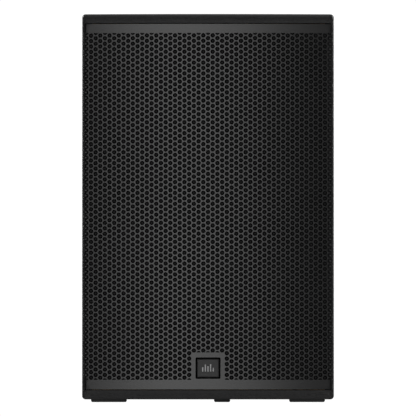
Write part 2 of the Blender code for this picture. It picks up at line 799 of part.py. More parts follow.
def make_hf_driver():
    centre = (0, HORN_Z)
    front_y, back_y = THROAT_Y + GAP, 0.004
    turned(
        "hf_driver_body",
        [
            (0.058, back_y),
            (0.058, front_y + 0.008),
            (0.044, front_y + 0.008),
            (0.044, front_y),
            (THROAT_RADIUS, front_y),
            (0.022, back_y),
        ],
        centre,
        look="ferrite",
    )
    shell, lip_y = 0.0005, 0.0055
    dome = [(0.022 * math.sin(math.radians(30 * i)), lip_y + 0.008 * math.cos(math.radians(30 * i)))
            for i in range(4)]
    inner = [(max(radius - shell, 0), y - shell) for radius, y in dome]
    turned(
        "hf_diaphragm",
        dome + [(0.028, lip_y), (0.028, lip_y - shell)] + inner[::-1],
        centre,
        look="titanium",
        steps=SMALL_TURN_STEPS,
    )
    cover_y = (back_y + GAP, 0.035)
    turned(
        "hf_rear_cover",
        [(0, cover_y[1]), (0.052, cover_y[1]), (0.056, cover_y[1] - 0.004), (0.056, cover_y[0]),
         (0.040, cover_y[0]), (0.040, 0.030), (0, 0.030)],
        centre,
        look="cast_metal",
    )


# --- the amplifier ----------------------------------------------------------------------------------------

AMP_TRAY_X = (AMP_X[0] + AMP_RIM - AMP_SHEET, AMP_X[1] - AMP_RIM + AMP_SHEET)
AMP_TRAY_Z = (AMP_Z[0] + AMP_RIM - AMP_SHEET, AMP_Z[1] - AMP_RIM + AMP_SHEET)
FLOOR_BACK_Y = FLOOR_Y - AMP_SHEET
COVER_BACK_Y = 0.085


def rectangle_between(x_span, z_span, radius):
    middle = (sum(x_span) / 2, sum(z_span) / 2)
    half = ((x_span[1] - x_span[0]) / 2, (z_span[1] - z_span[0]) / 2)
    return rounded_rectangle(middle, half, radius)


def grown(span, by):
    return (span[0] - by, span[1] + by)


def make_amp_chassis(back):
    rim_back_y = AMP_FACE_Y - 0.003
    chassis = prism("amp_chassis", rectangle_between(AMP_X, AMP_Z, 0.006), rim_back_y, AMP_FACE_Y, "Y",
                    "panel_paint")
    tray = prism("amp_tray", rectangle_between(AMP_TRAY_X, AMP_TRAY_Z, 0.005), FLOOR_BACK_Y,
                 AMP_FACE_Y - 0.001, "Y")
    hollow = rectangle_between(grown(AMP_TRAY_X, -AMP_SHEET), grown(AMP_TRAY_Z, -AMP_SHEET), 0.003)
    join(chassis, tray)
    cut(chassis, prism("amp_hollow", hollow, FLOOR_Y, AMP_FACE_Y + 0.01, "Y"))
    seat = rectangle_between(grown(AMP_X, 0.0005), grown(AMP_Z, 0.0005), 0.0065)
    opening = rectangle_between(grown(AMP_TRAY_X, 0.0015), grown(AMP_TRAY_Z, 0.0015), 0.0065)
    cut(back, prism("amp_seat", seat, rim_back_y - GAP, DEPTH / 2 + 0.01, "Y"))
    cut(back, prism("amp_opening", opening, DEPTH / 2 - WALL - 0.01, DEPTH / 2 + 0.01, "Y"))
    return chassis


def make_amp_inside():
    """The closed box behind the recess, the amplifier board in it and the board behind the sockets."""
    cover_x, cover_z = grown(AMP_TRAY_X, -0.001), grown(AMP_TRAY_Z, -0.001)
    sheet, open_y = 0.0015, FLOOR_BACK_Y - GAP
    cover = block("amp_cover", (cover_x[0], COVER_BACK_Y, cover_z[0]), (cover_x[1], open_y, cover_z[1]),
                  "steel")
    inside = block(
        "amp_cover_inside",
        (cover_x[0] + sheet, COVER_BACK_Y + sheet, cover_z[0] + sheet),
        (cover_x[1] - sheet, open_y + 0.01, cover_z[1] - sheet),
    )
    cut(cover, inside)

    board_y = (0.1180, 0.1196)
    x_low, x_high = cover_x[0] + 0.006, cover_x[1] - 0.006
    board = block("amp_board", (x_low, board_y[0], 0.195), (x_high, board_y[1], 0.462), "circuit_board")
    front = board_y[0] + 0.0005
    parts = [  # transformer, storage capacitors, output coils
        ((-0.118, 0.090, 0.205), (-0.068, front, 0.260)),
        ((-0.050, 0.092, 0.210), (-0.024, front, 0.236)),
        ((-0.020, 0.092, 0.210), (0.006, front, 0.236)),
        ((-0.110, 0.098, 0.300), (-0.082, front, 0.328)),
        ((-0.072, 0.098, 0.300), (-0.044, front, 0.328)),
        ((-0.030, 0.104, 0.290), (0.006, front, 0.340)),
    ]
    join(board, blocks("amp_components", parts))
    rail = blocks("amp_power_rail", [((-0.100, board_y[1] - 0.0005, 0.370), (-0.010, 0.150, 0.382))])
    join(board, rail)

    board_y = (0.1240, 0.1256)
    inputs = block("input_board", (x_low, board_y[0], 0.140), (x_high, board_y[1], 0.262), "circuit_board")
    for x in CHANNEL_X:
        join(inputs, block("gain_pot", (x - 0.008, board_y[1] - 0.0005, KNOB_Z - 0.008),
                           (x + 0.008, 0.138, KNOB_Z + 0.008)))


def make_heatsink():
    """A base with upright fins, extruded upwards."""
    x_low, x_high, base, fin, count = -0.126, 0.018, 0.004, 0.0024, 15
    y_low, y_high = FLOOR_Y + GAP, AMP_FACE_Y - 0.0012
    pitch = (x_high - x_low - fin) / (count - 1)
    outline = [(x_low, y_low)]
    for i in range(count):
        x = x_high - pitch * i
        outline += [(x, y_high), (x - fin, y_high)]
        if i < count - 1:
            outline += [(x - fin, y_low + base), (x - pitch, y_low + base)]
    outline.append((x_high, y_low))
    ordered = [outline[-1], *outline[1:-1], outline[0]]
    prism("heatsink", ordered, 0.292, 0.462, look="anodised_aluminium")


def make_knob(name, x, chassis):
    centre, shaft, skirt, cap = (x, KNOB_Z), 0.0030, 0.0092, 0.0074
    low, high = FLOOR_Y + 0.0008, FLOOR_Y + 0.0165
    knob = turned(
        name,
        [
            (0, high),
            (cap - 0.001, high),
            (cap, high - 0.001),
            (cap + 0.0005, low + 0.003),
            (skirt, low + 0.0018),
            (skirt, low),
            (shaft, low),
            (shaft, 0.1385),
            (0, 0.1385),
        ],
        centre,
        look="moulded_plastic",
        steps=SMALL_TURN_STEPS,
    )
    pointer = block(name + "_pointer", (-0.0008, high - 0.002, 0.001), (0.0008, high + 0.0006, cap + 0.0006))
    pointer.location = (x, 0, KNOB_Z)
    join(knob, pointer)
    cut(chassis, cylinder(name + "_hole", shaft + 0.0006, FLOOR_BACK_Y - 0.01, FLOOR_Y + 0.01, centre,
                          steps=SMALL_TURN_STEPS))


def make_button(name, x, chassis):
    half, play = 0.0040, 0.0004
    outline = rounded_rectangle((x, BUTTON_Z), (half, half), 0.001, 2)
    prism(name, outline, FLOOR_BACK_Y - 0.006, FLOOR_Y + 0.0042, "Y", "light_plastic")
    hole = rounded_rectangle((x, BUTTON_Z), (half + play, half + play), 0.001, 2)
    cut(chassis, prism(name + "_hole", hole, FLOOR_BACK_Y - 0.01, FLOOR_Y + 0.01, "Y"))


def make_jack(number, x, chassis):
    """A combined jack and three-pole socket, with the tab that releases its plug."""
    centre = (x, JACK_Z)
    flange_y = (FLOOR_Y + GAP, FLOOR_Y + 0.0025)
    name = f"input_jack_{number}"
    outline = rounded_rectangle(centre, (0.0130, 0.0155), 0.003)
    jack = prism(name, outline, *flange_y, "Y", "moulded_plastic")
    join(jack, cylinder(name + "_barrel", JACK_RADIUS, 0.128, flange_y[0] + 0.001, centre,
                        steps=SMALL_TURN_STEPS))
    cut(jack, cylinder(name + "_dish", 0.0100, flange_y[1] - 0.0012, FLOOR_Y + 0.01, centre,
                       steps=SMALL_TURN_STEPS))
    cut(jack, cylinder(name + "_bore", 0.0035, 0.132, FLOOR_Y + 0.01, centre, steps=SMALL_TURN_STEPS))
    slot = block(name + "_slot", (x - 0.0043, 0.1445, JACK_Z + 0.0107), (x + 0.0043, 0.170, JACK_Z + 0.0141))
    cut(jack, slot)
    block(
        f"jack_latch_{number}",
        (x - 0.0039, 0.1475, JACK_Z + 0.0111),
        (x + 0.0039, flange_y[1] + 0.0028, JACK_Z + 0.0137),
        "steel",
    )
    cut(chassis, slot)
    cut(chassis, cylinder(name + "_hole", JACK_RADIUS + 0.0004, FLOOR_BACK_Y - 0.01, FLOOR_Y + 0.01, centre,
                          steps=SMALL_TURN_STEPS))


def make_loop_output(chassis):
    centre = (RIGHT_COLUMN_X, JACK_Z)
    flange_y = (FLOOR_Y + GAP, FLOOR_Y + 0.0025)
    socket = prism("loop_output_socket", rounded_rectangle(centre, (0.0130, 0.0155), 0.003), *flange_y, "Y",
                   "moulded_plastic")
    join(socket, cylinder("loop_barrel", JACK_RADIUS, 0.136, flange_y[0] + 0.001, centre,
                          steps=SMALL_TURN_STEPS))
    cut(socket, cylinder("loop_hollow", 0.0084, 0.140, FLOOR_Y + 0.01, centre, steps=SMALL_TURN_STEPS))
    cut(chassis, cylinder("loop_hole", JACK_RADIUS + 0.0004, FLOOR_BACK_Y - 0.01, FLOOR_Y + 0.01, centre,
                          steps=SMALL_TURN_STEPS))


def make_power(chassis):
    """The mains inlet, and the rocker in its frame."""
    flange_y = (FLOOR_Y + GAP, FLOOR_Y + 0.0025)
    inlet_at = (INLET_X, POWER_Z)
    inlet = prism("mains_inlet", rounded_rectangle(inlet_at, (0.0250, 0.0135), 0.005), *flange_y, "Y",
                  "moulded_plastic")
    join(inlet, prism("inlet_body", rounded_rectangle(inlet_at, (0.0140, 0.0102), 0.002, 2), 0.134,
                      flange_y[0] + 0.001, "Y"))
    cut(inlet, prism("inlet_hollow", rounded_rectangle(inlet_at, (0.0122, 0.0084), 0.002, 2), 0.138,
                     FLOOR_Y + 0.01, "Y"))
    hole = rounded_rectangle(inlet_at, (0.0144, 0.0106), 0.002, 2)
    cut(chassis, prism("inlet_hole", hole, FLOOR_BACK_Y - 0.01, FLOOR_Y + 0.01, "Y"))

    rocker_at = (RIGHT_COLUMN_X, POWER_Z)
    frame = prism("power_switch_frame", rounded_rectangle(rocker_at, (0.0105, 0.0155), 0.002, 2), *flange_y,
                  "Y", "moulded_plastic")
    join(frame, prism("switch_body", rounded_rectangle(rocker_at, (0.0090, 0.0138), 0.0015, 2), 0.136,
                      flange_y[0] + 0.001, "Y"))
    cut(frame, prism("switch_hollow", rounded_rectangle(rocker_at, (0.0068, 0.0126), 0.0005, 2), 0.140,
                     FLOOR_Y + 0.01, "Y"))
    hole = rounded_rectangle(rocker_at, (0.0094, 0.0142), 0.002, 2)
    cut(chassis, prism("switch_hole", hole, FLOOR_BACK_Y - 0.01, FLOOR_Y + 0.01, "Y"))

    face = [(0.0055 - 0.0013 * math.cos(math.pi * i / 12), 0.0110 * (i / 6 - 1)) for i in range(13)]
    outline = face + [(0.0, 0.0110), (-0.0060, 0.0045), (-0.0060, -0.0045), (0.0, -0.0110)]
    rocker = prism("power_rocker", outline, -0.0062, 0.0062, "X", "moulded_plastic")
    rocker.location = (RIGHT_COLUMN_X, ROCKER_PIVOT_Y, POWER_Z)
    rocker.rotation_euler = (-ROCKER_TILT, 0, 0)


def make_amplifier(back):
    chassis = make_amp_chassis(back)
    make_amp_inside()
    make_heatsink()
    for number, x in enumerate(CHANNEL_X, start=1):
        make_knob(f"gain_knob_{number}", x, chassis)
        make_button(f"mic_line_button_{number}", x, chassis)
        make_jack(number, x, chassis)
    make_button("eq_button", RIGHT_COLUMN_X, chassis)
    make_loop_output(chassis)
    make_power(chassis)


# --- lining and leads -------------------------------------------------------------------------------------


def make_lining():
    """Wadding on the inside of the right and wedge sides."""
    thickness, start_y, end_y = 0.020, -0.033, 0.150
    near, far = WALL + 0.0005, WALL + thickness
    outer_corner = inset(WALL_PLAN, [0.0] + [near] * 4)[2]
    inner_corner = inset(WALL_PLAN, [0.0] + [far] * 4)[2]

    def on_wedge(corner):
        return (corner[0] - (end_y - corner[1]) * math.tan(WEDGE_ANGLE), end_y)

    outline = [
        (WIDTH / 2 - near, start_y),
        outer_corner,
        on_wedge(outer_corner),
        on_wedge(inner_corner),
        inner_corner,
        (WIDTH / 2 - far, start_y),
    ]
    prism("acoustic_lining", outline, INNER_LOW_Z + 0.010, INNER_HIGH_Z - 0.010, look="wadding")


def smooth_route(points, step=0.010):
    """Points about a step apart on a Catmull-Rom curve through these."""
    ends = [points[0], *points, points[-1]]
    route = []
    for a, b, c, d in zip(ends, ends[1:], ends[2:], ends[3:]):
        count = max(2, round(math.dist(b, c) / step))
        for i in range(count):
            t = i / count
            route.append(tuple(
                0.5 * (2 * q + (r - p) * t + (2 * p - 5 * q + 4 * r - s) * t ** 2
                       + (3 * q - p - 3 * r + s) * t ** 3)
                for p, q, r, s in zip(a, b, c, d)
            ))
    return route + [points[-1]]


def make_lead(name, points, radius=0.0028):
    route = smooth_route(points)
    curve = bpy.data.curves.new(name, "CURVE")
    curve.dimensions = "3D"
    curve.bevel_depth = radius
    curve.bevel_resolution = 2
    curve.use_fill_caps = True
    line = curve.splines.new("POLY")
    line.points.add(len(route) - 1)
    for target, point in zip(line.points, route):
        target.co = (*point, 1)
    placed(name, curve, "rubber")


def make_leads():
    start_y = COVER_BACK_Y - 0.0005
    make_lead("woofer_lead", [
        (-0.070, start_y, 0.240), (-0.071, 0.070, 0.240), (-0.090, 0.030, 0.235), (-0.106, -0.020, 0.215),
        (-0.108, -0.050, 0.190), (-0.100, -0.057, 0.184), (-0.0897, -0.057, 0.184),
    ])
    make_lead("hf_lead", [
        (-0.040, start_y, 0.400), (-0.040, 0.074, 0.400), (-0.041, 0.058, 0.412), (-0.035, 0.050, 0.430),
        (-0.030, 0.044, 0.438), (-0.030, 0.0356, 0.440),
    ], 0.0022)


# --- the whole --------------------------------------------------------------------------------------------


def main():
    top, bottom, back, left = make_panels()
    make_baffle()
    make_ports()
    make_feet()
    make_pole_socket(bottom)
    make_suspension_plugs(top)
    make_side_handle(left)
    make_top_handle(top)
    make_grille()
    make_basket()
    make_motor()
    make_cone()
    make_horn()
    make_hf_driver()
    make_amplifier(back)
    make_lining()
    make_leads()


main()
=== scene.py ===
"""The looks of the PA loudspeaker cabinet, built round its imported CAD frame.

Metres, +Z up, the grille faces -Y. Every piece lies where the CAD node that it stands for lies, and rides
on that node's body.
"""

import json
from math import asin, atan, atan2, copysign, cos, hypot, pi, radians, sin, sqrt, tan

import bmesh
import bpy
from mathutils import Matrix, Vector
from mathutils.geometry import delaunay_2d_cdt


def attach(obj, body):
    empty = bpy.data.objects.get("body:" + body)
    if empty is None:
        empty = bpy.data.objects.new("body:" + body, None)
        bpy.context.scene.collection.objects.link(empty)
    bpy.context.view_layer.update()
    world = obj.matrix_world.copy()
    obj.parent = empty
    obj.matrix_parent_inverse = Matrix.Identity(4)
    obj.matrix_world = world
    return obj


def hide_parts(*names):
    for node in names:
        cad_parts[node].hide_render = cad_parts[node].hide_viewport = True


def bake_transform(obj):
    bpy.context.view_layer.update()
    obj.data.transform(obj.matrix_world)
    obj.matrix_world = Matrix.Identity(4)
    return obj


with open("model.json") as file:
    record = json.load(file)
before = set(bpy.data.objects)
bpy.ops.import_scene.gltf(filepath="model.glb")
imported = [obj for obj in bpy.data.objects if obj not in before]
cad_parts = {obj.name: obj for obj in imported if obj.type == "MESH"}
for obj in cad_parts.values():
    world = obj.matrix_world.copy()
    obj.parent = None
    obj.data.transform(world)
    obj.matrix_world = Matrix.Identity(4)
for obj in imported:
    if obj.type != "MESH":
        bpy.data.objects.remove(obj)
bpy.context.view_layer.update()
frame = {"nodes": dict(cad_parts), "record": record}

# --- dimensions that part.py gives ---

WIDTH, DEPTH, HEIGHT = 0.372, 0.356, 0.573
FOOT_HEIGHT = 0.004
WALL = 0.0135
EDGE_ROUND, FRONT_ROUND = 0.0054, 0.011
BOW_RADIUS = 0.916
FRONT_Y, REAR_Y = -DEPTH / 2, DEPTH / 2
BOW_CENTRE_Y = FRONT_Y + BOW_RADIUS

FRONT_LEFT_X, REAR_LEFT_X = -0.18695, -0.158
WEDGE_START_Y, WEDGE_ANGLE = -0.015, radians(35)
REAR_RIGHT_X = WIDTH / 2 - (REAR_Y - WEDGE_START_Y) * tan(WEDGE_ANGLE)
INNER_Z = (FOOT_HEIGHT + WALL, HEIGHT - WALL)
REBATE_HALF_WIDTH, REBATE_END_Y = 0.1822, -0.1403

GRILLE_SETBACK, GRILLE_SHEET = 0.0018, 0.0015
GRILLE_HALF_WIDTH, GRILLE_BEND, GRILLE_FLANGE_END_Y = 0.1812, 0.0018, -0.142
GRILLE_Z = (0.0189, 0.5582)
BEND_STEPS = 5
SHEET_RADIUS = BOW_RADIUS - GRILLE_SETBACK
HOLE_RADIUS, HOLE_SIDES = 0.0033, 10
COLUMN_STEP = 0.0069537  # along the sheet, between columns of holes
ROW_STEP, ROWS = 0.008017, 70
EVEN_ROW_Z = 0.5452  # the highest hole of the middle column and of every second one from it
ODD_ROW_Z = 0.5412
LAST_COLUMN = 26
PERFORATED_Z = (0.0329, 0.545)
PAD_HALF_WIDTH, PAD_TOP_Z = 0.0242, 0.0733  # the blank field round the badge

BADGE_Z = 0.05015
BADGE_HALF = (0.0163, 0.01355)
BADGE_WINDOW_HALF = (0.01845, 0.0158)

CUP_HALF, CUP_SHELL, CUP_FLANGE, GRIP_RADIUS = (0.075, 0.045), 0.0025, 0.01, 0.0105

AMP_X, AMP_Z, AMP_RIM, AMP_FACE_Y = (-0.142, 0.034), (0.079, 0.481), 0.012, 0.1777
AMP_MIDDLE = (sum(AMP_X) / 2, sum(AMP_Z) / 2)
AMP_HALF = ((AMP_X[1] - AMP_X[0]) / 2, (AMP_Z[1] - AMP_Z[0]) / 2)
AMP_SHEET, FLOOR_Y = 0.002, 0.1557
CHANNEL_X, RIGHT_COLUMN_X = (-0.104, -0.062), -0.016
KNOB_Z, BUTTON_Z, JACK_Z, POWER_Z, INLET_X = 0.24, 0.203, 0.165, 0.115, -0.088
LATCH_Z = JACK_Z + 0.0124
FLANGE = (0.0003, 0.0025)  # from the panel's face to the flange's front
WOOFER_Z = 0.184
POLE_PLACE = (0.0, -0.02)
PLUG_PLACES = ((-0.125, -0.085), (0.125, -0.085))


def bow_y(x, setback=0.0):
    """The front's y at this x, on the arc that lies so far behind the outermost one."""
    return BOW_CENTRE_Y - sqrt((BOW_RADIUS - setback) ** 2 - x * x)


LEFT_LEAN = atan((REAR_LEFT_X - FRONT_LEFT_X) / (REAR_Y - bow_y(FRONT_LEFT_X)))


def left_wall_x(y):
    return FRONT_LEFT_X + (y - bow_y(FRONT_LEFT_X)) * tan(LEFT_LEAN)


# --- materials ---

# two colours, roughness range, fine scale and broad scale in 1/m, bump strength and depth in m, and then what
# else differs: metallic, specular level, share of the broad scale, detail, stretch along X, Y and Z, texture
LOOKS = {
    "textured_paint": ((0.0095, 0.0095, 0.0097), (0.042, 0.042, 0.0428), (0.56, 0.84),
        560, 330, 1.0, 0.0006, dict(detail=4, mix=0.5, spec=0.36)),
    "grille_paint": ((0.01, 0.01, 0.0102), (0.014, 0.014, 0.0142), (0.34, 0.39), 2400, 6, 0.1, 0.00006,
        dict(spec=0.5)),
    "raw_plywood": ((0.36, 0.23, 0.12), (0.6, 0.44, 0.27), (0.55, 0.75), 420, 14, 0.25, 0.0002,
        dict(stretch=(1.0, 1.0, 0.07), mix=0.55)),
    # the foam's last colour is painted light, laid on at the middle of each hole
    "open_cell_foam": ((0.0018, 0.0018, 0.0019), (0.007, 0.007, 0.0072), (0.92, 1.0), 900, 40, 0.8, 0.0006,
        dict(cells=True, spec=0.04, painted_light_colour=(0.028, 0.028, 0.0285))),
    "badge_metal": ((0.01, 0.01, 0.0103), (0.016, 0.016, 0.0164), (0.44, 0.54), 1500, 60, 0.08, 0.00005,
        dict(stretch=(0.05, 1.0, 1.0), spec=0.4)),
    "badge_mark": ((0.34, 0.34, 0.345), (0.42, 0.42, 0.425), (0.38, 0.48), 1500, 80, 0.06, 0.00004, {}),
    "badge_edge": ((0.046, 0.046, 0.047), (0.062, 0.062, 0.063), (0.4, 0.5), 1500, 80, 0.06, 0.00004, {}),
    # painted shade: near black and without reflection, for the deep gap round the badge
    "badge_moat_shade": ((0.001, 0.001, 0.001), (0.0022, 0.0022, 0.0022), (0.95, 1.0), 1200, 80, 0.3, 0.0001,
        dict(spec=0.0)),
    "rubber": ((0.016, 0.016, 0.016), (0.028, 0.028, 0.028), (0.62, 0.82), 1300, 45, 0.3, 0.00012,
        dict(spec=0.4)),
    "grip_rubber": ((0.01, 0.01, 0.01), (0.018, 0.018, 0.018), (0.6, 0.78), 1600, 60, 0.35, 0.00015,
        dict(cells=True, spec=0.35)),
    "moulded_plastic": ((0.012, 0.012, 0.0125), (0.02, 0.02, 0.0205), (0.42, 0.58), 1700, 35, 0.32, 0.0001,
        {}),
    "cast_metal": ((0.03, 0.03, 0.031), (0.06, 0.06, 0.062), (0.42, 0.6), 1100, 30, 0.3, 0.00012,
        dict(metal=0.8)),
    "steel": ((0.42, 0.42, 0.43), (0.58, 0.58, 0.59), (0.22, 0.36), 900, 80, 0.06, 0.00004,
        dict(metal=1.0, stretch=(1.0, 0.1, 1.0))),
    "black_screw": ((0.02, 0.02, 0.021), (0.036, 0.036, 0.037), (0.3, 0.44), 1800, 120, 0.12, 0.00005,
        dict(metal=0.7)),
    "ferrite": ((0.02, 0.02, 0.021), (0.045, 0.045, 0.047), (0.52, 0.7), 800, 30, 0.3, 0.00015, {}),
    "paper_cone": ((0.014, 0.0135, 0.013), (0.036, 0.035, 0.034), (0.7, 0.9), 600, 50, 0.45, 0.0002,
        dict(detail=5, stretch=(1.0, 0.4, 1.0))),
    "treated_cloth": ((0.026, 0.022, 0.017), (0.06, 0.05, 0.04), (0.72, 0.88), 1900, 40, 0.35, 0.00015,
        dict(weave=1600)),
    "coil_copper": ((0.5, 0.23, 0.11), (0.72, 0.38, 0.21), (0.24, 0.4), 1400, 60, 0.3, 0.0001,
        dict(metal=1.0, stretch=(0.02, 1.0, 0.02))),
    "titanium": ((0.38, 0.38, 0.4), (0.5, 0.5, 0.52), (0.2, 0.3), 900, 70, 0.08, 0.00004,
        dict(metal=1.0)),
    "wadding": ((0.55, 0.55, 0.54), (0.78, 0.78, 0.76), (0.9, 1.0), 260, 30, 0.9, 0.002, dict(detail=6)),
    "panel_paint": ((0.012, 0.012, 0.0128), (0.018, 0.018, 0.0188), (0.4, 0.52), 2100, 20, 0.22, 0.00008,
        {}),
    "anodised_aluminium": ((0.014, 0.014, 0.015), (0.026, 0.026, 0.0275), (0.34, 0.5),
        1800, 40, 0.15, 0.00006, dict(metal=0.85, stretch=(1.0, 1.0, 0.03))),
    "circuit_board": ((0.01, 0.07, 0.03), (0.022, 0.125, 0.055), (0.32, 0.46), 900, 240, 0.15, 0.00008,
        dict(weave=500)),
    "light_plastic": ((0.42, 0.42, 0.41), (0.5, 0.5, 0.49), (0.36, 0.48), 1500, 90, 0.12, 0.00005, {}),
    "panel_ink": ((0.42, 0.42, 0.42), (0.52, 0.52, 0.52), (0.5, 0.62), 2200, 150, 0.05, 0.00003, {}),
    "contact_metal": ((0.62, 0.58, 0.5), (0.76, 0.72, 0.64), (0.18, 0.28), 1300, 90, 0.05, 0.00003,
        dict(metal=1.0, stretch=(1.0, 0.08, 1.0))),
    "green_lens": ((0.01, 0.16, 0.03), (0.02, 0.24, 0.05), (0.16, 0.24), 900, 200, 0.05, 0.00003, {}),
    "red_lens": ((0.2, 0.012, 0.01), (0.29, 0.022, 0.016), (0.16, 0.24), 900, 200, 0.05, 0.00003, {}),
}


class Nodes:
    """Adds shader nodes to one tree, left to right."""

    def __init__(self, owner):
        owner.use_nodes = True
        self.tree = owner.node_tree
        self.column = -1400

    def add(self, kind, inputs=None, **settings):
        node = self.tree.nodes.new("ShaderNode" + kind)
        node.location = (self.column, 0)
        self.column += 90
        for key, value in settings.items():
            setattr(node, key, value)
        for key, value in (inputs or {}).items():
            self.set(node.inputs[key], value)
        return node

    def set(self, socket, value):
        """Links a socket to another one, or sets it to a value. A colour takes three numbers."""
        if isinstance(value, bpy.types.NodeSocket):
            self.tree.links.new(value, socket)
        else:
            socket.default_value = (*value, 1) if socket.type == "RGBA" else value

    def math(self, operation, first, second=0.0):
        return self.add("Math", {0: first, 1: second}, operation=operation).outputs[0]

    def spread(self, value, low, high, out_low, out_high):
        made = self.add("MapRange", {"Value": value, "From Min": low, "From Max": high,
                                     "To Min": out_low, "To Max": out_high})
        return made.outputs["Result"]

    def blend(self, share, first, second):
        made = self.math("MULTIPLY", second, share)
        return self.math("ADD", made, self.math("MULTIPLY", first, 1.0 - share))

    def mixed(self, factor, first, second):
        """Second over first. The colour's sockets are the third set of those that a Mix node has."""
        return self.add("Mix", {"Factor": factor, 6: first, 7: second}, data_type="RGBA").outputs[2]


def painted_hole_light(nodes, place):
    """Painted light on the foam: 1 at the middle of each hole, where the foam is painted lighter as if lit
    through it, and 0 away from the holes.
    """
    split, math_node = nodes.add("SeparateXYZ", {"Vector": place}), nodes.math
    arc = math_node("ARCSINE", math_node("DIVIDE", split.outputs["X"], SHEET_RADIUS))
    along = math_node("MULTIPLY", arc, SHEET_RADIUS)
    lit_spot_masks = []
    for start, top in ((0.0, EVEN_ROW_Z), (COLUMN_STEP, ODD_ROW_Z)):
        squares = []
        for value, offset, step in ((along, start, 2 * COLUMN_STEP), (split.outputs["Z"], top, ROW_STEP)):
            steps = math_node("DIVIDE", math_node("SUBTRACT", value, offset), step)
            away = math_node("SUBTRACT", steps, math_node("ROUND", steps))
            squares.append(math_node("POWER", math_node("MULTIPLY", math_node("ABSOLUTE", away), step), 2.0))
        reach = math_node("SQRT", math_node("ADD", *squares))
        lit_spot_masks.append(nodes.spread(reach, 0.0004, 0.0018, 1.0, 0.0))
    return math_node("MAXIMUM", *lit_spot_masks)


def finish(name):
    """The material of this name. Noise at two scales drives its colour, its roughness and its bump."""
    found = bpy.data.materials.get("look_" + name)
    if found:
        return found
    low, high, rough, grain, patch, strength, depth, more = LOOKS[name]
    made = bpy.data.materials.new("look_" + name)
    nodes = Nodes(made)
    shader = made.node_tree.nodes["Principled BSDF"]
    place = nodes.add("TexCoord").outputs["Object"]
    if "stretch" in more:
        place = nodes.add("Mapping", {"Vector": place, "Scale": more["stretch"]}).outputs["Vector"]
    if "cells" in more:
        fine = nodes.add("TexVoronoi", {"Vector": place, "Scale": grain}).outputs["Distance"]
        fine = nodes.spread(fine, 0.0, 0.8, 0.25, 0.75)
    else:
        fine = nodes.add("TexNoise", {"Vector": place, "Scale": grain,
                                      "Detail": more.get("detail", 2)}).outputs["Fac"]
    if "weave" in more:
        waves = [nodes.add("TexWave", {"Vector": place, "Scale": more["weave"] / 20, "Distortion": 0.6},
                           bands_direction=direction).outputs["Fac"] for direction in ("X", "Z")]
        fine = nodes.blend(0.5, fine, nodes.blend(0.5, *waves))
    broad = nodes.add("TexNoise", {"Vector": place, "Scale": patch, "Detail": 3}).outputs["Fac"]
    pattern = nodes.blend(more.get("mix", 0.35), fine, broad)
    base = nodes.mixed(nodes.spread(pattern, 0.34, 0.66, 0.0, 1.0), low, high)
    # painted light: the foam is painted lighter at the middle of each hole, as if lit through it
    if "painted_light_colour" in more:
        base = nodes.mixed(painted_hole_light(nodes, place), base, more["painted_light_colour"])
    roughness = nodes.spread(pattern, 0.34, 0.66, *rough)
    bump = nodes.add("Bump", {"Height": fine, "Strength": strength, "Distance": depth})
    for socket, value in (
        ("Base Color", base), ("Roughness", roughness), ("Normal", bump.outputs["Normal"]),
        ("Metallic", more.get("metal", 0.0)), ("Specular IOR Level", more.get("spec", 0.5)),
    ):
        nodes.set(shader.inputs[socket], value)
    return made


# --- making pieces ---


def linked(name, data):
    made = bpy.data.objects.new(name, data)
    bpy.context.scene.collection.objects.link(made)
    return made


def held(name, mesh, look):
    made = linked(name, mesh)
    mesh.materials.append(finish(look))
    return made


def shade(piece, sharp_over=35):
    piece.data.shade_smooth()
    piece.data.set_sharp_from_angle(angle=radians(sharp_over))
    return piece


def add_loft(shape, rings, capped=True):
    """Adds a skin through rings of equally many points, flat at its ends or closed from last to first."""
    loops = [[shape.verts.new(point) for point in ring] for ring in rings]
    count = len(loops[0])
    for first, second in zip(loops, loops[1:] if capped else loops[1:] + loops[:1]):
        for i in range(count):
            j = (i + 1) % count
            shape.faces.new((first[i], first[j], second[j], second[i]))
    if capped:
        shape.faces.new(loops[0][::-1])
        shape.faces.new(loops[-1])


def lofts(name, parts, look, sharp_over=35, capped=True):
    """One piece of several lofted solids, each given as (rings, place)."""
    shape = bmesh.new()
    for rings, place in parts:
        before = len(shape.verts)
        add_loft(shape, rings, capped)
        shape.verts.ensure_lookup_table()
        if place is not None:
            bmesh.ops.transform(shape, matrix=place, verts=shape.verts[before:])
    bmesh.ops.recalc_face_normals(shape, faces=shape.faces)
    mesh = bpy.data.meshes.new(name)
    shape.to_mesh(mesh)
    shape.free()
    return shade(held(name, mesh, look), sharp_over)


def loft(name, rings, look, place=None, sharp_over=35, capped=True):
    return lofts(name, [(rings, place)], look, sharp_over, capped)


def ring(reach, z, count=32):
    """A ring round Z. Its reach is a radius, or a function that gives one for each angle."""
    points = []
    for angle in (2 * pi * i / count for i in range(count)):
        radius = reach(angle) if callable(reach) else reach
        points.append((radius * cos(angle), radius * sin(angle), z))
    return points


def hexagon(radius):
    """The reach of a regular hexagon with this outer radius."""
    half = pi / 6
    return lambda angle: radius * cos(half) / cos(angle % (2 * half) - half)


def turned(steps, count=32):
    """Rings round Z, each given as (reach, z)."""
    return [ring(radius, z, count) for radius, z in steps]


def rod(radius, low, high, count=32):
    return turned(((radius, low), (radius, high)), count)


def rounded(half, radius, z, count=6):
    points = []
    for quarter, (right, up) in enumerate(((1, 1), (-1, 1), (-1, -1), (1, -1))):
        for i in range(count + 1):
            angle = radians(90 * quarter + 90 * i / count)
            points.append((right * (half[0] - radius) + radius * cos(angle),
                           up * (half[1] - radius) + radius * sin(angle), z))
    return points


def stack(half, steps, count=6):
    """Rounded rings, each given as (growth of the half sizes, corner radius, z)."""
    return [rounded([h + grow for h in half], corner, z, count) for grow, corner, z in steps]


def post(half, corner, low, high, count=6):
    return stack(half, ((0, corner, low), (0, corner, high)), count)


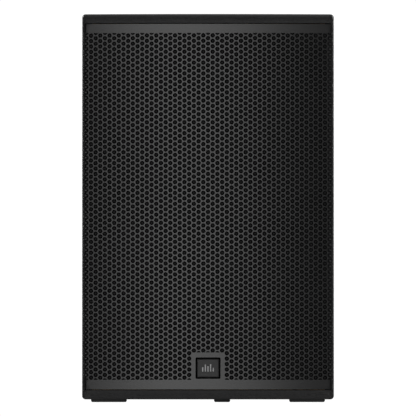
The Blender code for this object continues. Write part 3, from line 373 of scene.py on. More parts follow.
def levels(outline, low, high):
    return [[(x, y, z) for x, y in outline] for z in (low, high)]


def edge_steps(radius, count=3):
    """(inset, drop) pairs round a quarter circle, from a flat face to the side below it."""
    turns = [radians(90 * i / count) for i in range(count + 1)]
    return [(radius * (1 - sin(a)), radius * (1 - cos(a))) for a in turns]


def pad(half, corner, low, high, edge, count=6):
    """Rings of a plate that stands from low to high along Z, its upper edge rounded."""
    rings = [rounded(half, corner, low, count)]
    for inset, drop in reversed(edge_steps(edge)):
        size = [h - inset for h in half]
        rings.append(rounded(size, max(corner - inset, edge * 0.2), high - drop, count))
    return rings


def facing(origin, x_axis, z_axis):
    """A matrix whose local X and Z lie along these directions."""
    z = Vector(z_axis).normalized()
    x = Vector(x_axis).normalized()
    y = z.cross(x)
    made = Matrix((x, y, z)).transposed().to_4x4()
    made.translation = Vector(origin)
    return made


def on_front(x, y, z):
    return facing((x, y, z), (1, 0, 0), (0, -1, 0))


def on_back(x, y, z):
    return facing((x, y, z), (-1, 0, 0), (0, 1, 0))


def on_panel(x, z):
    return on_back(x, FLOOR_Y, z)


def moved(place, x, y, z=0.0):
    return place @ Matrix.Translation((x, y, z))


def around(place, radius, degrees):
    """This place moved across by so much in this direction."""
    angle = radians(degrees)
    return moved(place, radius * cos(angle), radius * sin(angle))


def settle(piece):
    """Turns a piece's modifiers into its mesh."""
    graph = bpy.context.evaluated_depsgraph_get()
    mesh = bpy.data.meshes.new_from_object(piece.evaluated_get(graph))
    piece.modifiers.clear()
    piece.data = mesh
    return piece


def combine(piece, look, parts, operation="DIFFERENCE"):
    """Cuts lofted solids, each given as (rings, place), out of a piece, or joins them to it."""
    tools = [loft("tool", rings, look, place) for rings, place in parts]
    for tool in tools:
        modifier = piece.modifiers.new("tool", "BOOLEAN")
        modifier.object, modifier.operation, modifier.solver = tool, operation, "EXACT"
    settle(piece)
    for tool in tools:
        bpy.data.objects.remove(tool)
    while len(piece.data.materials) > 1:
        piece.data.materials.pop()
    return shade(piece)


def add(piece, slot, *nodes, body="cabinet"):
    """Puts a finished piece on its body."""
    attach(piece, body)
    if nodes:
        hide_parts(*nodes)


def build(name, rings, look, place, slot, *nodes, body="cabinet", **more):
    add(loft(name, rings, look, place, **more), slot, *nodes, body=body)


def add_screws(name, places, radius, height, socket):
    """Domed heads with six-sided sockets. Their seats are at z 0."""
    rings = turned(((radius, 0), (radius, height * 0.45), (radius * 0.86, height * 0.85),
                    (radius * 0.62, height), (hexagon(socket), height * 0.98),
                    (hexagon(socket * 0.94), height * 0.3)), 24)
    add(lofts(name, [(rings, place) for place in places], "black_screw"), "steel")


# --- the cabinet's painted shell ---


def plan_inset(corners, distances):
    """The polygon whose edges lie inside this one's by one distance each. Edge i starts at corner i."""
    moved = []
    for i, (x, y) in enumerate(corners):
        lines = []
        for first, second in ((i - 1, i), (i, (i + 1) % len(corners))):
            dx = corners[second][0] - corners[first][0]
            dy = corners[second][1] - corners[first][1]
            length = hypot(dx, dy)
            normal = (-dy / length, dx / length)
            lines.append((*normal, normal[0] * x + normal[1] * y + distances[first]))
        (a, b, e), (c, d, f) = lines
        scale = a * d - b * c
        moved.append(((e * d - b * f) / scale, (a * f - e * c) / scale))
    return moved


def inside_plan(corners, x, y):
    within = False
    for (x1, y1), (x2, y2) in zip(corners, corners[1:] + corners[:1]):
        if (y1 > y) != (y2 > y) and x < x1 + (y - y1) * (x2 - x1) / (y2 - y1):
            within = not within
    return within


def handle_frames():
    side = facing((left_wall_x(0), 0, 0.3), (0, 0, 1),
                  (-cos(LEFT_LEAN), sin(LEFT_LEAN), 0))
    return side, Matrix.Translation((-0.01, 0.02, HEIGHT))


def edge_round(first, second):
    """The rounding of a shell edge between two corners: wide round the front, and none along the bow."""
    in_front = max(first.y, second.y) < bow_y(FRONT_LEFT_X) + 0.001
    upright = abs(first.z - second.z) > 0.001
    if in_front and upright and FRONT_LEFT_X + 0.001 < first.x < WIDTH / 2 - 0.001:
        return 0.0
    return FRONT_ROUND if in_front else EDGE_ROUND


def make_shell():
    bow_steps, end_step = 56, 0.015  # the ends are long enough to hold the corners' rounding
    low, high = FRONT_LEFT_X + end_step, WIDTH / 2 - end_step
    front = [low + (high - low) * i / bow_steps for i in range(bow_steps + 1)]
    plan = [(x, bow_y(x)) for x in (FRONT_LEFT_X, *front, WIDTH / 2)]
    plan += [(WIDTH / 2, WEDGE_START_Y), (REAR_RIGHT_X, REAR_Y), (REAR_LEFT_X, REAR_Y)]
    shell = loft("cabinet_shell", levels(plan, FOOT_HEIGHT, HEIGHT), "textured_paint")
    corners = [vertex.co for vertex in shell.data.vertices]
    weights = shell.data.attributes.new("bevel_weight_edge", "FLOAT", "EDGE")
    for edge, weight in zip(shell.data.edges, weights.data):
        weight.value = edge_round(*(corners[i] for i in edge.vertices)) / FRONT_ROUND
    bevel = shell.modifiers.new("round", "BEVEL")
    bevel.width, bevel.segments, bevel.limit_method = FRONT_ROUND, 8, "WEIGHT"
    settle(shell)

    past = FRONT_Y - 0.01
    walls = [(left_wall_x(past), past), (WIDTH / 2, past), *plan[-3:]]
    rebate = [(-REBATE_HALF_WIDTH, past - 0.01), (REBATE_HALF_WIDTH, past - 0.01),
              (REBATE_HALF_WIDTH, REBATE_END_Y), (-REBATE_HALF_WIDTH, REBATE_END_Y)]
    side, top = handle_frames()
    panel = on_back(AMP_MIDDLE[0], REAR_Y, AMP_MIDDLE[1])
    pole = Matrix.Translation((*POLE_PLACE, FOOT_HEIGHT))
    handle = stack(CUP_HALF, ((0.0005, 0.0205, -0.03), (0.0005, 0.0205, 0.03)))
    seat = CUP_FLANGE + 0.0005
    cuts = [
        (levels(plan_inset(walls, [0.0] + [WALL] * 4), *INNER_Z), None), (levels(rebate, *INNER_Z), None),
        (handle, side), (handle, top),
        (stack(CUP_HALF, ((seat, 0.0145, -0.0031), (seat, 0.0145, 0.02))), top),
        (stack(AMP_HALF, ((0.0005, 0.0065, -0.0036), (0.0005, 0.0065, 0.01))), panel),
        (stack(AMP_HALF, ((-0.0085, 0.0065, -0.03), (-0.0085, 0.0065, 0.01))), panel),
        (rod(0.0405, -0.01, 0.0033, 48), pole), (rod(0.0245, -0.01, 0.03, 48), pole),
    ]
    for x, y in PLUG_PLACES:
        at = Matrix.Translation((x, y, HEIGHT))
        cuts += [(rod(0.0104, -0.0031, 0.01), at), (rod(0.0054, -0.03, 0.01, 24), at)]
    combine(shell, "textured_paint", cuts)

    # the faces that no paint reaches are bare plywood
    shell.data.materials.append(finish("raw_plywood"))
    low, high = INNER_Z
    hull = plan_inset(walls, [0.0] + [WALL - 0.0004] * 4)
    for face in shell.data.polygons:
        x, y, z = face.center
        if low - 0.0001 < z < high + 0.0001 and y > REBATE_END_Y + 0.0002 and inside_plan(hull, x, y):
            face.material_index = 1
    add(shell, "textured_paint", "top_panel", "bottom_panel", "left_side_panel",
        "right_side_panel", "wedge_side_panel", "back_panel")


# --- the perforated grille ---

_bow_end = asin((GRILLE_HALF_WIDTH - GRILLE_BEND) / (SHEET_RADIUS - GRILLE_BEND))
BEND_START = SHEET_RADIUS * _bow_end
BEND_END = BEND_START + GRILLE_BEND * (pi / 2 - _bow_end)
BEND_X = (SHEET_RADIUS - GRILLE_BEND) * sin(_bow_end)
BEND_Y = BOW_CENTRE_Y - (SHEET_RADIUS - GRILLE_BEND) * cos(_bow_end)
SHEET_END = BEND_END + GRILLE_FLANGE_END_Y - BEND_Y


def on_sheet(s, z, depth):
    """The place of a point of the flat sheet once it is bowed and its sides are bent back."""
    side, s = copysign(1.0, s), abs(s)
    if s <= BEND_START:
        angle = s / SHEET_RADIUS
        reach = SHEET_RADIUS - depth
        return (side * reach * sin(angle), BOW_CENTRE_Y - reach * cos(angle), z)
    reach = GRILLE_BEND - depth
    if s <= BEND_END:
        angle = _bow_end + (s - BEND_START) / GRILLE_BEND
        return (side * (BEND_X + reach * sin(angle)), BEND_Y - reach * cos(angle), z)
    return (side * (BEND_X + reach), BEND_Y + s - BEND_END, z)


def clip(points, axis, limit, keep_below):
    """A convex polygon's part on one side of a line."""
    kept = []
    for a, b in zip(points, points[1:] + points[:1]):
        a_in = (a[axis] <= limit) == keep_below
        b_in = (b[axis] <= limit) == keep_below
        if a_in:
            kept.append(a)
        if a_in != b_in:
            t = (limit - a[axis]) / (b[axis] - a[axis])
            kept.append(tuple(p + t * (q - p) for p, q in zip(a, b)))
    return kept


def zipped(inner, outer):
    """Triangles that fill the space between two convex rings, the inner one's points first."""
    middle = [sum(p[k] for p in inner) / len(inner) for k in (0, 1)]

    def by_angle(points, offset):
        return sorted((atan2(p[1] - middle[1], p[0] - middle[0]), i + offset)
                      for i, p in enumerate(points))

    rings = by_angle(inner, 0), by_angle(outer, len(inner))
    last = [points[-1][1] for points in rings]
    faces = []
    for _, index, which in sorted((*pair, which) for which in (0, 1) for pair in rings[which]):
        faces.append((*last, index))
        last[which] = index
    return faces


def column_top(column):
    return ODD_ROW_Z if column % 2 else EVEN_ROW_Z


def perforated_field():
    """The sheet round its holes: (points, triangles, cells) on the flat, with each cell's corners shared."""
    slice_angle = 2 * pi / HOLE_SIDES
    reach = HOLE_RADIUS * sqrt(slice_angle / sin(slice_angle))
    hole = [(reach * sin(2 * pi * i / HOLE_SIDES), reach * cos(2 * pi * i / HOLE_SIDES))
            for i in range(HOLE_SIDES)]
    # each corner of a cell belongs to three cells, and lattice steps name it
    steps = [(2, 0), (1, 1), (-1, 1), (-2, 0), (-1, -1), (1, -1)]
    third = COLUMN_STEP / 3
    cell = [(step_s * third, step_z * ROW_STEP / 2) for step_s, step_z in steps]
    whole = zipped(hole, cell)
    points, faces, corners, cells = [], [], {}, set()
    for column in range(-LAST_COLUMN, LAST_COLUMN + 1):
        s = column * COLUMN_STEP
        for row in range(ROWS):
            z = column_top(column) - row * ROW_STEP
            floor = PAD_TOP_Z if abs(s) < PAD_HALF_WIDTH else PERFORATED_Z[0]
            if z - HOLE_RADIUS > PERFORATED_Z[1] or z + HOLE_RADIUS < floor + 0.0004:
                continue
            shown = [(s + x, z + y) for x, y in hole]
            cut = z + HOLE_RADIUS > PERFORATED_Z[1] or z - HOLE_RADIUS < floor
            if cut:
                shown = clip(clip(shown, 1, PERFORATED_Z[1], True), 1, floor, False)
            start = len(points)
            points += shown
            indices = list(range(start, start + len(shown)))
            level = -2 * row - column % 2
            for (step_s, step_z), (x, y) in zip(steps, cell):
                key = (3 * column + step_s, level + step_z)
                if key not in corners:
                    corners[key] = len(points)
                    points.append((s + x, z + y))
                indices.append(corners[key])
            triangles = zipped(shown, [(s + x, z + y) for x, y in cell]) if cut else whole
            faces += [tuple(indices[i] for i in triangle) for triangle in triangles]
            cells.add((column, -row))
    return points, faces, cells


def nearest_hole(s, z):
    """(distance, cell) of the hole place that lies nearest."""
    found = []
    middle = round(s / COLUMN_STEP)
    for column in (middle - 1, middle, middle + 1):
        row = round((z - column_top(column)) / ROW_STEP)
        away = hypot(s - column * COLUMN_STEP, z - (column_top(column) + row * ROW_STEP))
        found.append((away, (column, row)))
    return min(found, key=lambda hole: hole[0])


def is_corner(point):
    """True for a cell's corner, which lies a third of a column from the columns, and not on a hole."""
    step = point[0] / (COLUMN_STEP / 3)
    return abs(step - round(step)) < 1e-4 and nearest_hole(*point)[0] >= HOLE_RADIUS * 1.12


def open_edges(faces):
    """The directed edges that only one face has."""
    edges = {(face[i], face[(i + 1) % len(face)]) for face in faces for i in range(len(face))}
    return [(a, b) for a, b in edges if (b, a) not in edges]


def folded(points, faces, bend):
    """Splits the flat sheet along the lines where it bends, so that each strip between them stays flat."""
    shape = bmesh.new()
    corners = [shape.verts.new((s, z, 0)) for s, z in points]
    for face in faces:
        shape.faces.new([corners[i] for i in face])
    for line in bend + [-s for s in bend]:
        near = [face for face in shape.faces
                if min(v.co.x for v in face.verts) < line < max(v.co.x for v in face.verts)]
        parts = set(near) | {e for f in near for e in f.edges} | {v for f in near for v in f.verts}
        bmesh.ops.bisect_plane(shape, geom=list(parts), dist=1e-8, plane_co=(line, 0, 0), plane_no=(1, 0, 0))
    shape.verts.index_update()
    points = [(v.co.x, v.co.y) for v in shape.verts]
    faces = [tuple(v.index for v in face.verts) for face in shape.faces]
    shape.free()
    return points, faces


def make_grille():
    points, faces, cells = perforated_field()
    # the outer rim of the field, without the rims of its holes
    rim = [(a, b) for a, b in open_edges(faces) if is_corner(points[a]) and is_corner(points[b])]
    used = sorted({i for edge in rim for i in edge})
    place = {index: i for i, index in enumerate(used)}
    flat = [Vector(points[i]) for i in used]
    edges = [(place[a], place[b]) for a, b in rim]
    low, high = GRILLE_Z
    bend = [BEND_START + (BEND_END - BEND_START) * i / BEND_STEPS for i in range(BEND_STEPS + 1)]
    across = [COLUMN_STEP * i for i in range(1 - LAST_COLUMN, LAST_COLUMN)]
    across = sorted([-s for s in bend] + [-SHEET_END] + across + bend + [SHEET_END])
    upright = [low + (high - low) * i / 48 for i in range(49)]
    border = [(s, low) for s in across] + [(SHEET_END, z) for z in upright[1:]]
    border += [(s, high) for s in reversed(across[:-1])] + [(-SHEET_END, z) for z in upright[-2:0:-1]]
    window = [(x, y + BADGE_Z) for x, y, _ in rounded(BADGE_WINDOW_HALF, 0.0015, 0, 4)]
    for outline in (border, window):
        first = len(flat)
        flat += [Vector(p) for p in outline]
        edges += [(first + i, first + (i + 1) % len(outline)) for i in range(len(outline))]
    made, _, triangles, _, _, _ = delaunay_2d_cdt(flat, edges, [], 0, 1e-7)

    def key_of(point):
        return (round(point[0] * 1e6), round(point[1] * 1e6))

    known = {key_of(points[i]): i for i in used}
    for triangle in triangles:
        s, z = (sum(made[i][k] for i in triangle) / 3 for k in (0, 1))
        if inside_plan(window, s, z) or nearest_hole(s, z)[1] in cells:
            continue
        indices = []
        for i in triangle:
            key = key_of(made[i])
            if key not in known:
                known[key] = len(points)
                points.append((made[i][0], made[i][1]))
            indices.append(known[key])
        a, b, c = (points[i] for i in indices)
        if (b[0] - a[0]) * (c[1] - a[1]) - (b[1] - a[1]) * (c[0] - a[0]) < 0:
            indices.reverse()
        faces.append(tuple(indices))
    points, faces = folded(points, faces, bend)
    count = len(points)
    walls = [(b, a, a + count, b + count) for a, b in open_edges(faces)]
    backs = [tuple(i + count for i in reversed(face)) for face in faces]
    places = [on_sheet(s, z, depth) for depth in (0.0, GRILLE_SHEET) for s, z in points]
    mesh = bpy.data.meshes.new("grille_sheet")
    mesh.from_pydata(places, [], faces + walls + backs)
    add(shade(held("grille_sheet", mesh, "grille_paint"), 40), "grille_paint", "grille")


# --- the badge and the feet ---


def make_badge():
    """A blank plate with a raised rim, which carries plain bars as on a level meter."""
    face, back = FRONT_Y + 0.0008, FRONT_Y + GRILLE_SETBACK + GRILLE_SHEET + 0.0003
    place = on_front(0, back, BADGE_Z)
    high = back - face
    # the tray behind the gap round the plate is near black and reflects nothing: painted shade for the deep
    # gap
    tray = stack(BADGE_WINDOW_HALF, ((0.0025, 0.0015, -0.002), (0.0025, 0.0015, -0.0001),
                                     (0.0012, 0.0015, -0.0001), (0.0012, 0.0015, -0.0012)), 4)
    build("badge_tray", tray, "badge_moat_shade", place, "badge_metal", "badge_plate")
    plate = stack(BADGE_HALF, ((-0.0006, 0.0008, -0.0012), (-0.0006, 0.0008, high - 0.0012),
                               (0, 0.0012, high - 0.0012), (0, 0.0012, high - 0.0004),
                               (-0.0003, 0.001, high), (-0.001, 0.0007, high),
                               (-0.0014, 0.0005, high - 0.0005)), 4)
    build("badge", plate, "badge_metal", place, "badge_metal", "badge_plate")
    bars = []
    for i, height in enumerate((0.0066, 0.0104, 0.008, 0.011, 0.0056)):
        at = on_front((i - 2) * 0.0039, back - high + 0.00055, 0.045 + height / 2)
        bars.append((pad((0.0009, height / 2), 0.0003, 0.0, 0.0004, 0.0002, 3), at))
    add(lofts("badge_mark", bars, "badge_mark"), "badge_metal")
    edge = stack(BADGE_HALF, ((-0.0003, 0.001, high - 0.0001), (-0.0005, 0.001, high),
                              (-0.001, 0.0005, high), (-0.0012, 0.0005, high - 0.0001)), 4)
    build("badge_rim", edge, "badge_edge", place, "badge_metal", capped=False)
    line = pad((0.0105, 0.00016), 0.0001, 0.0, 0.0003, 0.0001, 2)
    build("badge_line", line, "badge_edge", on_front(0, back - high + 0.00055, 0.0412), "badge_metal")


def make_feet():
    long_half, short_half = 0.02635, 0.012
    top = FOOT_HEIGHT + 0.0002  # let into the panel, so that no light shows between them
    for node, x, y, half in (("foot_front_left", -0.1464, -0.136, (long_half, short_half)),
                             ("foot_front_right", 0.1464, -0.136, (long_half, short_half)),
                             ("foot_rear_left", -0.137, 0.13, (short_half, long_half)),
                             ("foot_rear_right", 0.02105, 0.13, (short_half, long_half))):
        rings = stack(half, ((-0.0017, 0.0028, 0.0), (-0.0014, 0.003, 0.0002), (-0.0002, 0.0038, 0.0014),
                             (0, 0.004, 0.0018), (0, 0.004, top)), 8)
        build(node + "_pad", rings, "rubber", Matrix.Translation((x, y, 0)), "rubber", node)
    normal = (cos(WEDGE_ANGLE), sin(WEDGE_ANGLE), 0)
    middle = (0.5 * (WIDTH / 2 + REAR_RIGHT_X), 0.5 * (WEDGE_START_Y + REAR_Y))
    along = (-sin(WEDGE_ANGLE), cos(WEDGE_ANGLE), 0)
    half, seat = (0.075, short_half), 0.0013
    heads = []
    for name, z in (("lower", 0.085), ("upper", 0.492)):
        at = facing((*middle, z), along, normal)
        rings = [rounded(half, 0.004, 0.0003, 8), *pad(half, 0.004, 0.002, 0.0035, 0.0009, 8)[1:]]
        strip = loft(f"wedge_foot_{name}_strip", rings, "rubber", at)
        spots = [moved(at, x, 0) for x in (-0.052, 0.052)]
        combine(strip, "rubber", [(rod(0.0046, seat, 0.01), spot) for spot in spots])
        heads += [moved(spot, 0, 0, seat) for spot in spots]
        add(strip, "rubber", f"wedge_foot_{name}")
    add_screws("wedge_foot_screws", heads, 0.0039, 0.0014, 0.0016)


# --- handles and the fittings of the top ---


def cup_rings(depth, proud):
    """From the underside of the flange, out over it and down into the cup."""
    flange = [h + CUP_FLANGE for h in CUP_HALF]
    inner = [h - CUP_SHELL for h in CUP_HALF]
    rings = stack(flange, [(-0.0002, 0.0138, proud - CUP_SHELL)])
    rings += stack(flange, [(-inset, 0.014 - inset * 0.8, proud - drop)
                            for inset, drop in reversed(edge_steps(0.0011))])
    rings += stack(inner, [(inset, 0.0175 + inset, proud - drop) for inset, drop in edge_steps(0.0016, 4)])
    floor, fillet, draft = -depth + CUP_SHELL, 0.009, 0.0022
    rings += stack(inner, [(-draft, 0.0165, floor + fillet)])
    for i in range(1, 5):
        turn = radians(90 * i / 4)
        inset = draft + fillet * (1 - cos(turn))
        rings += stack(inner, [(-inset, max(0.0165 - inset * 0.6, 0.004),
                                floor + fillet * (1 - sin(turn)))])
    return rings


def cup_outside(depth, proud):
    return stack(CUP_HALF, [(-inset, 0.02 - inset * 0.5, z) for inset, z in (
        (0.009, -depth), (0.0045, -depth + 0.0012), (0.0018, -depth + 0.005), (0.0, -depth + 0.012),
        (0.0, proud - CUP_SHELL))])


def make_handle(name, place, depth, proud, grip_depth):
    # one closed skin: the flange's underside joins the cup's outside
    build(name + "_shell", cup_outside(depth, proud) + cup_rings(depth, proud), "moulded_plastic", place,
          "moulded_plastic", name + "_cup")

    half, groove, ribs = CUP_HALF[0] - CUP_SHELL - 0.0003, GRIP_RADIUS - 0.00045, 21
    profile = [(GRIP_RADIUS * 1.25, half), (GRIP_RADIUS * 1.22, half - 0.002)]
    for i in range(1, 7):
        flare = 0.22 * (1 - i / 6) ** 2
        profile.append((GRIP_RADIUS * (1 + flare), half - 0.002 - 0.014 * (i / 6)))
    ends = [(radius, -x) for radius, x in profile]
    sleeve = half - 0.018
    for i in range(ribs):
        x = sleeve - 2 * sleeve * (i + 0.5) / ribs
        profile += [(GRIP_RADIUS, x + 0.0028), (GRIP_RADIUS, x + 0.0022), (groove, x + 0.0006),
                    (groove, x - 0.0006), (GRIP_RADIUS, x - 0.0022)]
    profile = sorted(profile + ends[::-1], key=lambda pair: -pair[1])
    at = moved(place, 0, 0, -grip_depth) @ Matrix.Rotation(pi / 2, 4, "Y")
    build(name + "_bar", turned(profile, 36), "grip_rubber", at, "rubber", name + "_grip", sharp_over=50)
    spots = [moved(place, x, y, proud) for x in (-0.064, 0.064) for y in (-0.05, 0.05)]
    add_screws(name + "_screws", spots, 0.0034, 0.0013 if proud > 0 else 0.0002, 0.0014)


def make_plugs():
    face = -0.0003
    rings = turned(((0.005, -0.0215), (0.005, -0.0028), (0.01, -0.0028), (0.01, face - 0.0008),
                    (0.0096, face - 0.0002), (0.009, face), (hexagon(0.0048), face),
                    (hexagon(0.0046), face - 0.0022)), 24)
    for number, (x, y) in enumerate(PLUG_PLACES, start=1):
        build(f"suspension_screw_{number}", rings, "black_screw", Matrix.Translation((x, y, HEIGHT)), "steel",
              f"suspension_plug_{number}")


# --- the amplifier panel ---


def make_amp_panel():
    place = on_back(AMP_MIDDLE[0], AMP_FACE_Y, AMP_MIDDLE[1])
    recess = [h - AMP_RIM for h in AMP_HALF]
    deep, fillet = AMP_FACE_Y - FLOOR_Y, 0.0015
    rings = stack(recess, ((AMP_SHEET, 0.005, -deep - AMP_SHEET), (AMP_SHEET, 0.005, -0.003)))
    rings += stack(AMP_HALF, [(-0.0002, 0.0058, -0.003)])
    rings += stack(AMP_HALF, [(-inset, 0.006 - inset, -drop) for inset, drop in reversed(edge_steps(0.0008))])
    rings += stack(recess, [(inset, 0.003 + inset, -drop) for inset, drop in edge_steps(0.0012)])
    for turn in (radians(30 * i) for i in range(4)):
        inset = fillet * (1 - cos(turn))
        rings += stack(recess, [(-inset, 0.003 - inset * 0.8, -deep + fillet * (1 - sin(turn)))])
    panel = loft("amp_panel", rings, "panel_paint", place)

    depth = (-0.012, 0.012)
    button, jack = post((0.0044, 0.0044), 0.001, *depth, 3), rod(0.0122, *depth, 40)
    holes = []
    for x in CHANNEL_X:
        holes += [(rod(0.0036, *depth), x, KNOB_Z), (button, x, BUTTON_Z), (jack, x, JACK_Z),
                  (post((0.0043, 0.0017), 0.0003, *depth, 2), x, LATCH_Z)]
    holes += [(button, RIGHT_COLUMN_X, BUTTON_Z), (jack, RIGHT_COLUMN_X, JACK_Z),
              (post((0.0144, 0.0106), 0.002, *depth, 3), INLET_X, POWER_Z),
              (post((0.0094, 0.0142), 0.002, *depth, 3), RIGHT_COLUMN_X, POWER_Z)]
    combine(panel, "panel_paint", [(rings, on_panel(x, z)) for rings, x, z in holes])
    add(panel, "panel_paint", "amp_chassis")

    spots = []
    for x in (AMP_X[0] + AMP_RIM / 2, AMP_X[1] - AMP_RIM / 2):
        spots += [(x, AMP_Z[0] + 0.016 + (AMP_Z[1] - AMP_Z[0] - 0.032) * i / 4) for i in range(5)]
    spots += [(AMP_MIDDLE[0], AMP_Z[0] + AMP_RIM / 2), (AMP_MIDDLE[0], AMP_Z[1] - AMP_RIM / 2)]
    # the heads are countersunk, so they end level with the cabinet's back
    places = [on_back(x, AMP_FACE_Y - 0.0008, z) for x, z in spots]
    add_screws("amp_panel_screws", places, 0.0034, 0.001, 0.0014)
    make_markings()
    make_lamps()


def make_markings():
    """Printed lines, scales and plain symbols. None of them is a letter."""
    ink = []

    def bar(x, z, half_x, half_z, turn=0.0):
        place = on_panel(x, z) @ Matrix.Rotation(turn, 4, "Z")
        ink.append((post((half_x, half_z), min(half_x, half_z) * 0.6, 0.00002, 0.00012, 1), place))

    for x in CHANNEL_X:
        for step in range(11):
            angle = radians(-150 + 30 * step)
            reach, long_half = 0.0128, 0.0014 if step % 5 == 0 else 0.0009
            bar(x - reach * sin(angle), KNOB_Z + reach * cos(angle), 0.00022, long_half, angle)
        bar(x, KNOB_Z + 0.0178, 0.0016, 0.0002)
        bar(x - 0.0085, KNOB_Z - 0.015, 0.0013, 0.0002)
        bar(x - 0.0085, KNOB_Z - 0.015, 0.0002, 0.0013)
        bar(x + 0.0085, KNOB_Z - 0.015, 0.0013, 0.0002)
    for x in (*CHANNEL_X, RIGHT_COLUMN_X):
        bar(x, BUTTON_Z + 0.0085, 0.004, 0.0002)
        bar(x, BUTTON_Z - 0.0085, 0.0028, 0.0002)
    for x in (0.5 * sum(CHANNEL_X), 0.5 * (CHANNEL_X[1] + RIGHT_COLUMN_X)):
        bar(x, 0.5 * (JACK_Z + KNOB_Z) + 0.002, 0.00018, 0.0535)
    for z in (0.1375, 0.2655):
        bar(-0.054, z, 0.07, 0.00018)
    add(lofts("panel_markings", ink, "panel_ink"), "panel_paint")


def make_lamps():
    """Signal lamps above each channel's scale and the power lamp above the rocker."""
    dome = turned(((0.0018, 0.0), (0.0018, 0.0006), (0.0014, 0.0013), (0.0006, 0.0017)), 20)
    bezel = turned(((0.003, 0.00005), (0.003, 0.0004), (0.0026, 0.0007), (0.002, 0.0007),
                    (0.002, 0.00005)), 24)
    face_y, lamp_z = FLOOR_Y + 0.00005, KNOB_Z + 0.019
    green = [on_back(x + 0.0075, face_y, lamp_z) for x in CHANNEL_X]
    green.append(on_back(RIGHT_COLUMN_X, face_y, POWER_Z + 0.0215))
    red = [on_back(x - 0.0075, face_y, lamp_z) for x in CHANNEL_X]
    for name, places, look in (("signal_lamps", green, "green_lens"), ("clip_lamps", red, "red_lens")):
        add(lofts(name, [(dome, place) for place in places], look, 60), "panel_paint")
    bezels = lofts("lamp_bezels", [(bezel, place) for place in green + red], "steel", capped=False)
    add(bezels, "steel")


def make_knobs():
    flutes, count = 18, 72
    skirt, cap, low, high = 0.0092, 0.0074, 0.0008, 0.0165

    def fluted(radius, depth):
        return lambda angle: radius - depth * (0.5 - 0.5 * cos(flutes * angle))

    rings = turned(((0.003, -0.0172), (0.003, low), (skirt, low), (skirt, 0.0018), (skirt - 0.0004, 0.0024),
                    (cap + 0.0007, 0.0036), (fluted(cap + 0.0004, 0.0005), 0.0042),
                    (fluted(cap + 0.0001, 0.0005), high - 0.0014),
                    (fluted(cap - 0.0002, 0.0003), high - 0.0007), (cap - 0.0008, high - 0.0001),
                    (cap - 0.0014, high), (cap - 0.0022, high - 0.0003), (0.002, high - 0.0005)), count)
    pointer = pad((0.0005, 0.0027), 0.0003, high - 0.0008, high + 0.0002, 0.0001, 2)
    for number, x in enumerate(CHANNEL_X, start=1):
        place, body = on_panel(x, KNOB_Z), f"gain_knob_{number}"
        build(f"knob_{number}", rings, "moulded_plastic", place, "moulded_plastic", body, body=body,
              sharp_over=50)
        build(f"knob_pointer_{number}", pointer, "panel_ink", moved(place, 0, 0.0042), "light_plastic",
              body=body)


def make_buttons():
    half = (0.004, 0.004)
    rings = [rounded(half, 0.001, -0.008, 4), *pad(half, 0.001, -0.004, 0.0042, 0.0006, 4)[1:],
             rounded((0.0022, 0.0022), 0.0008, 0.0039, 4)]
    for node, x in zip(("mic_line_button_1", "mic_line_button_2", "eq_button"), (*CHANNEL_X, RIGHT_COLUMN_X)):
        build(node + "_cap", rings, "light_plastic", on_panel(x, BUTTON_Z), "light_plastic", node, body=node)


def fitting(name, node, place, half, corner, edge, box, holes, count=6):
    """A plate on the panel with a box or barrel behind it, and holes in both."""
    body = loft(name, pad(half, corner, *FLANGE, edge, count), "moulded_plastic", place)
    combine(body, "moulded_plastic", [(box, place)], "UNION")
    combine(body, "moulded_plastic", holes)
    add(body, "moulded_plastic", node)


def make_sockets():
    half = (0.013, 0.0155)

    def socket_screws(name, place):
        spots = [moved(place, side * 0.0105, -side * 0.013, FLANGE[1]) for side in (-1, 1)]
        add_screws(name, spots, 0.0015, 0.0006, 0.0007)

    dish = turned(((0.0092, 0.0011), (0.01, 0.0013), (0.0104, 0.02)), 40)
    slot = post((0.0043, 0.0017), 0.0002, -0.0112, 0.02, 1)
    collar = turned(((0.0052, 0.00112), (0.0052, 0.0017), (0.0047, 0.0021), (0.0036, 0.0021),
                     (0.0036, 0.00112)), 36)
    tab = [rounded((0.0039, 0.0013), 0.0003, 0.0, 2),
           *pad((0.0039, 0.0013), 0.0006, 0.012, 0.0135, 0.0004, 2)[1:]]
    for number, x in enumerate(CHANNEL_X, start=1):
        place, latch = on_panel(x, JACK_Z), f"jack_latch_{number}"
        holes = [(dish, place), (rod(0.0035, -0.0237, 0.02), place), (slot, on_panel(x, LATCH_Z))]
        holes += [(rod(0.0013, -0.012, 0.02, 20), around(place, 0.0064, turn)) for turn in (90, 210, 330)]
        fitting(f"jack_body_{number}", f"input_jack_{number}", place, half, 0.003, 0.0006,
                rod(0.0118, -0.0277, 0.001, 40), holes)
        build(f"jack_collar_{number}", collar, "contact_metal", place, "steel", capped=False)
        socket_screws(f"jack_screws_{number}", place)
        build(f"jack_tab_{number}", tab, "steel", on_back(x, 0.1475, LATCH_Z), "steel", latch, body=latch)

    place = on_panel(RIGHT_COLUMN_X, JACK_Z)
    hollow = turned(((0.0084, -0.0157), (0.0084, 0.0014), (0.0092, 0.0024), (0.0098, 0.02)), 40)
    fitting("loop_socket_body", "loop_output_socket", place, half, 0.003, 0.0006,
            rod(0.0118, -0.0197, 0.001, 40), [(hollow, place)])
    pin = turned(((0.0012, -0.0158), (0.0012, -0.0036), (0.0009, -0.0027), (0.0004, -0.0024)), 20)
    pins = [(pin, around(place, 0.0043, turn)) for turn in (270, 30, 150)]
    add(lofts("loop_socket_pins", pins, "contact_metal"), "steel")
    socket_screws("loop_socket_screws", place)


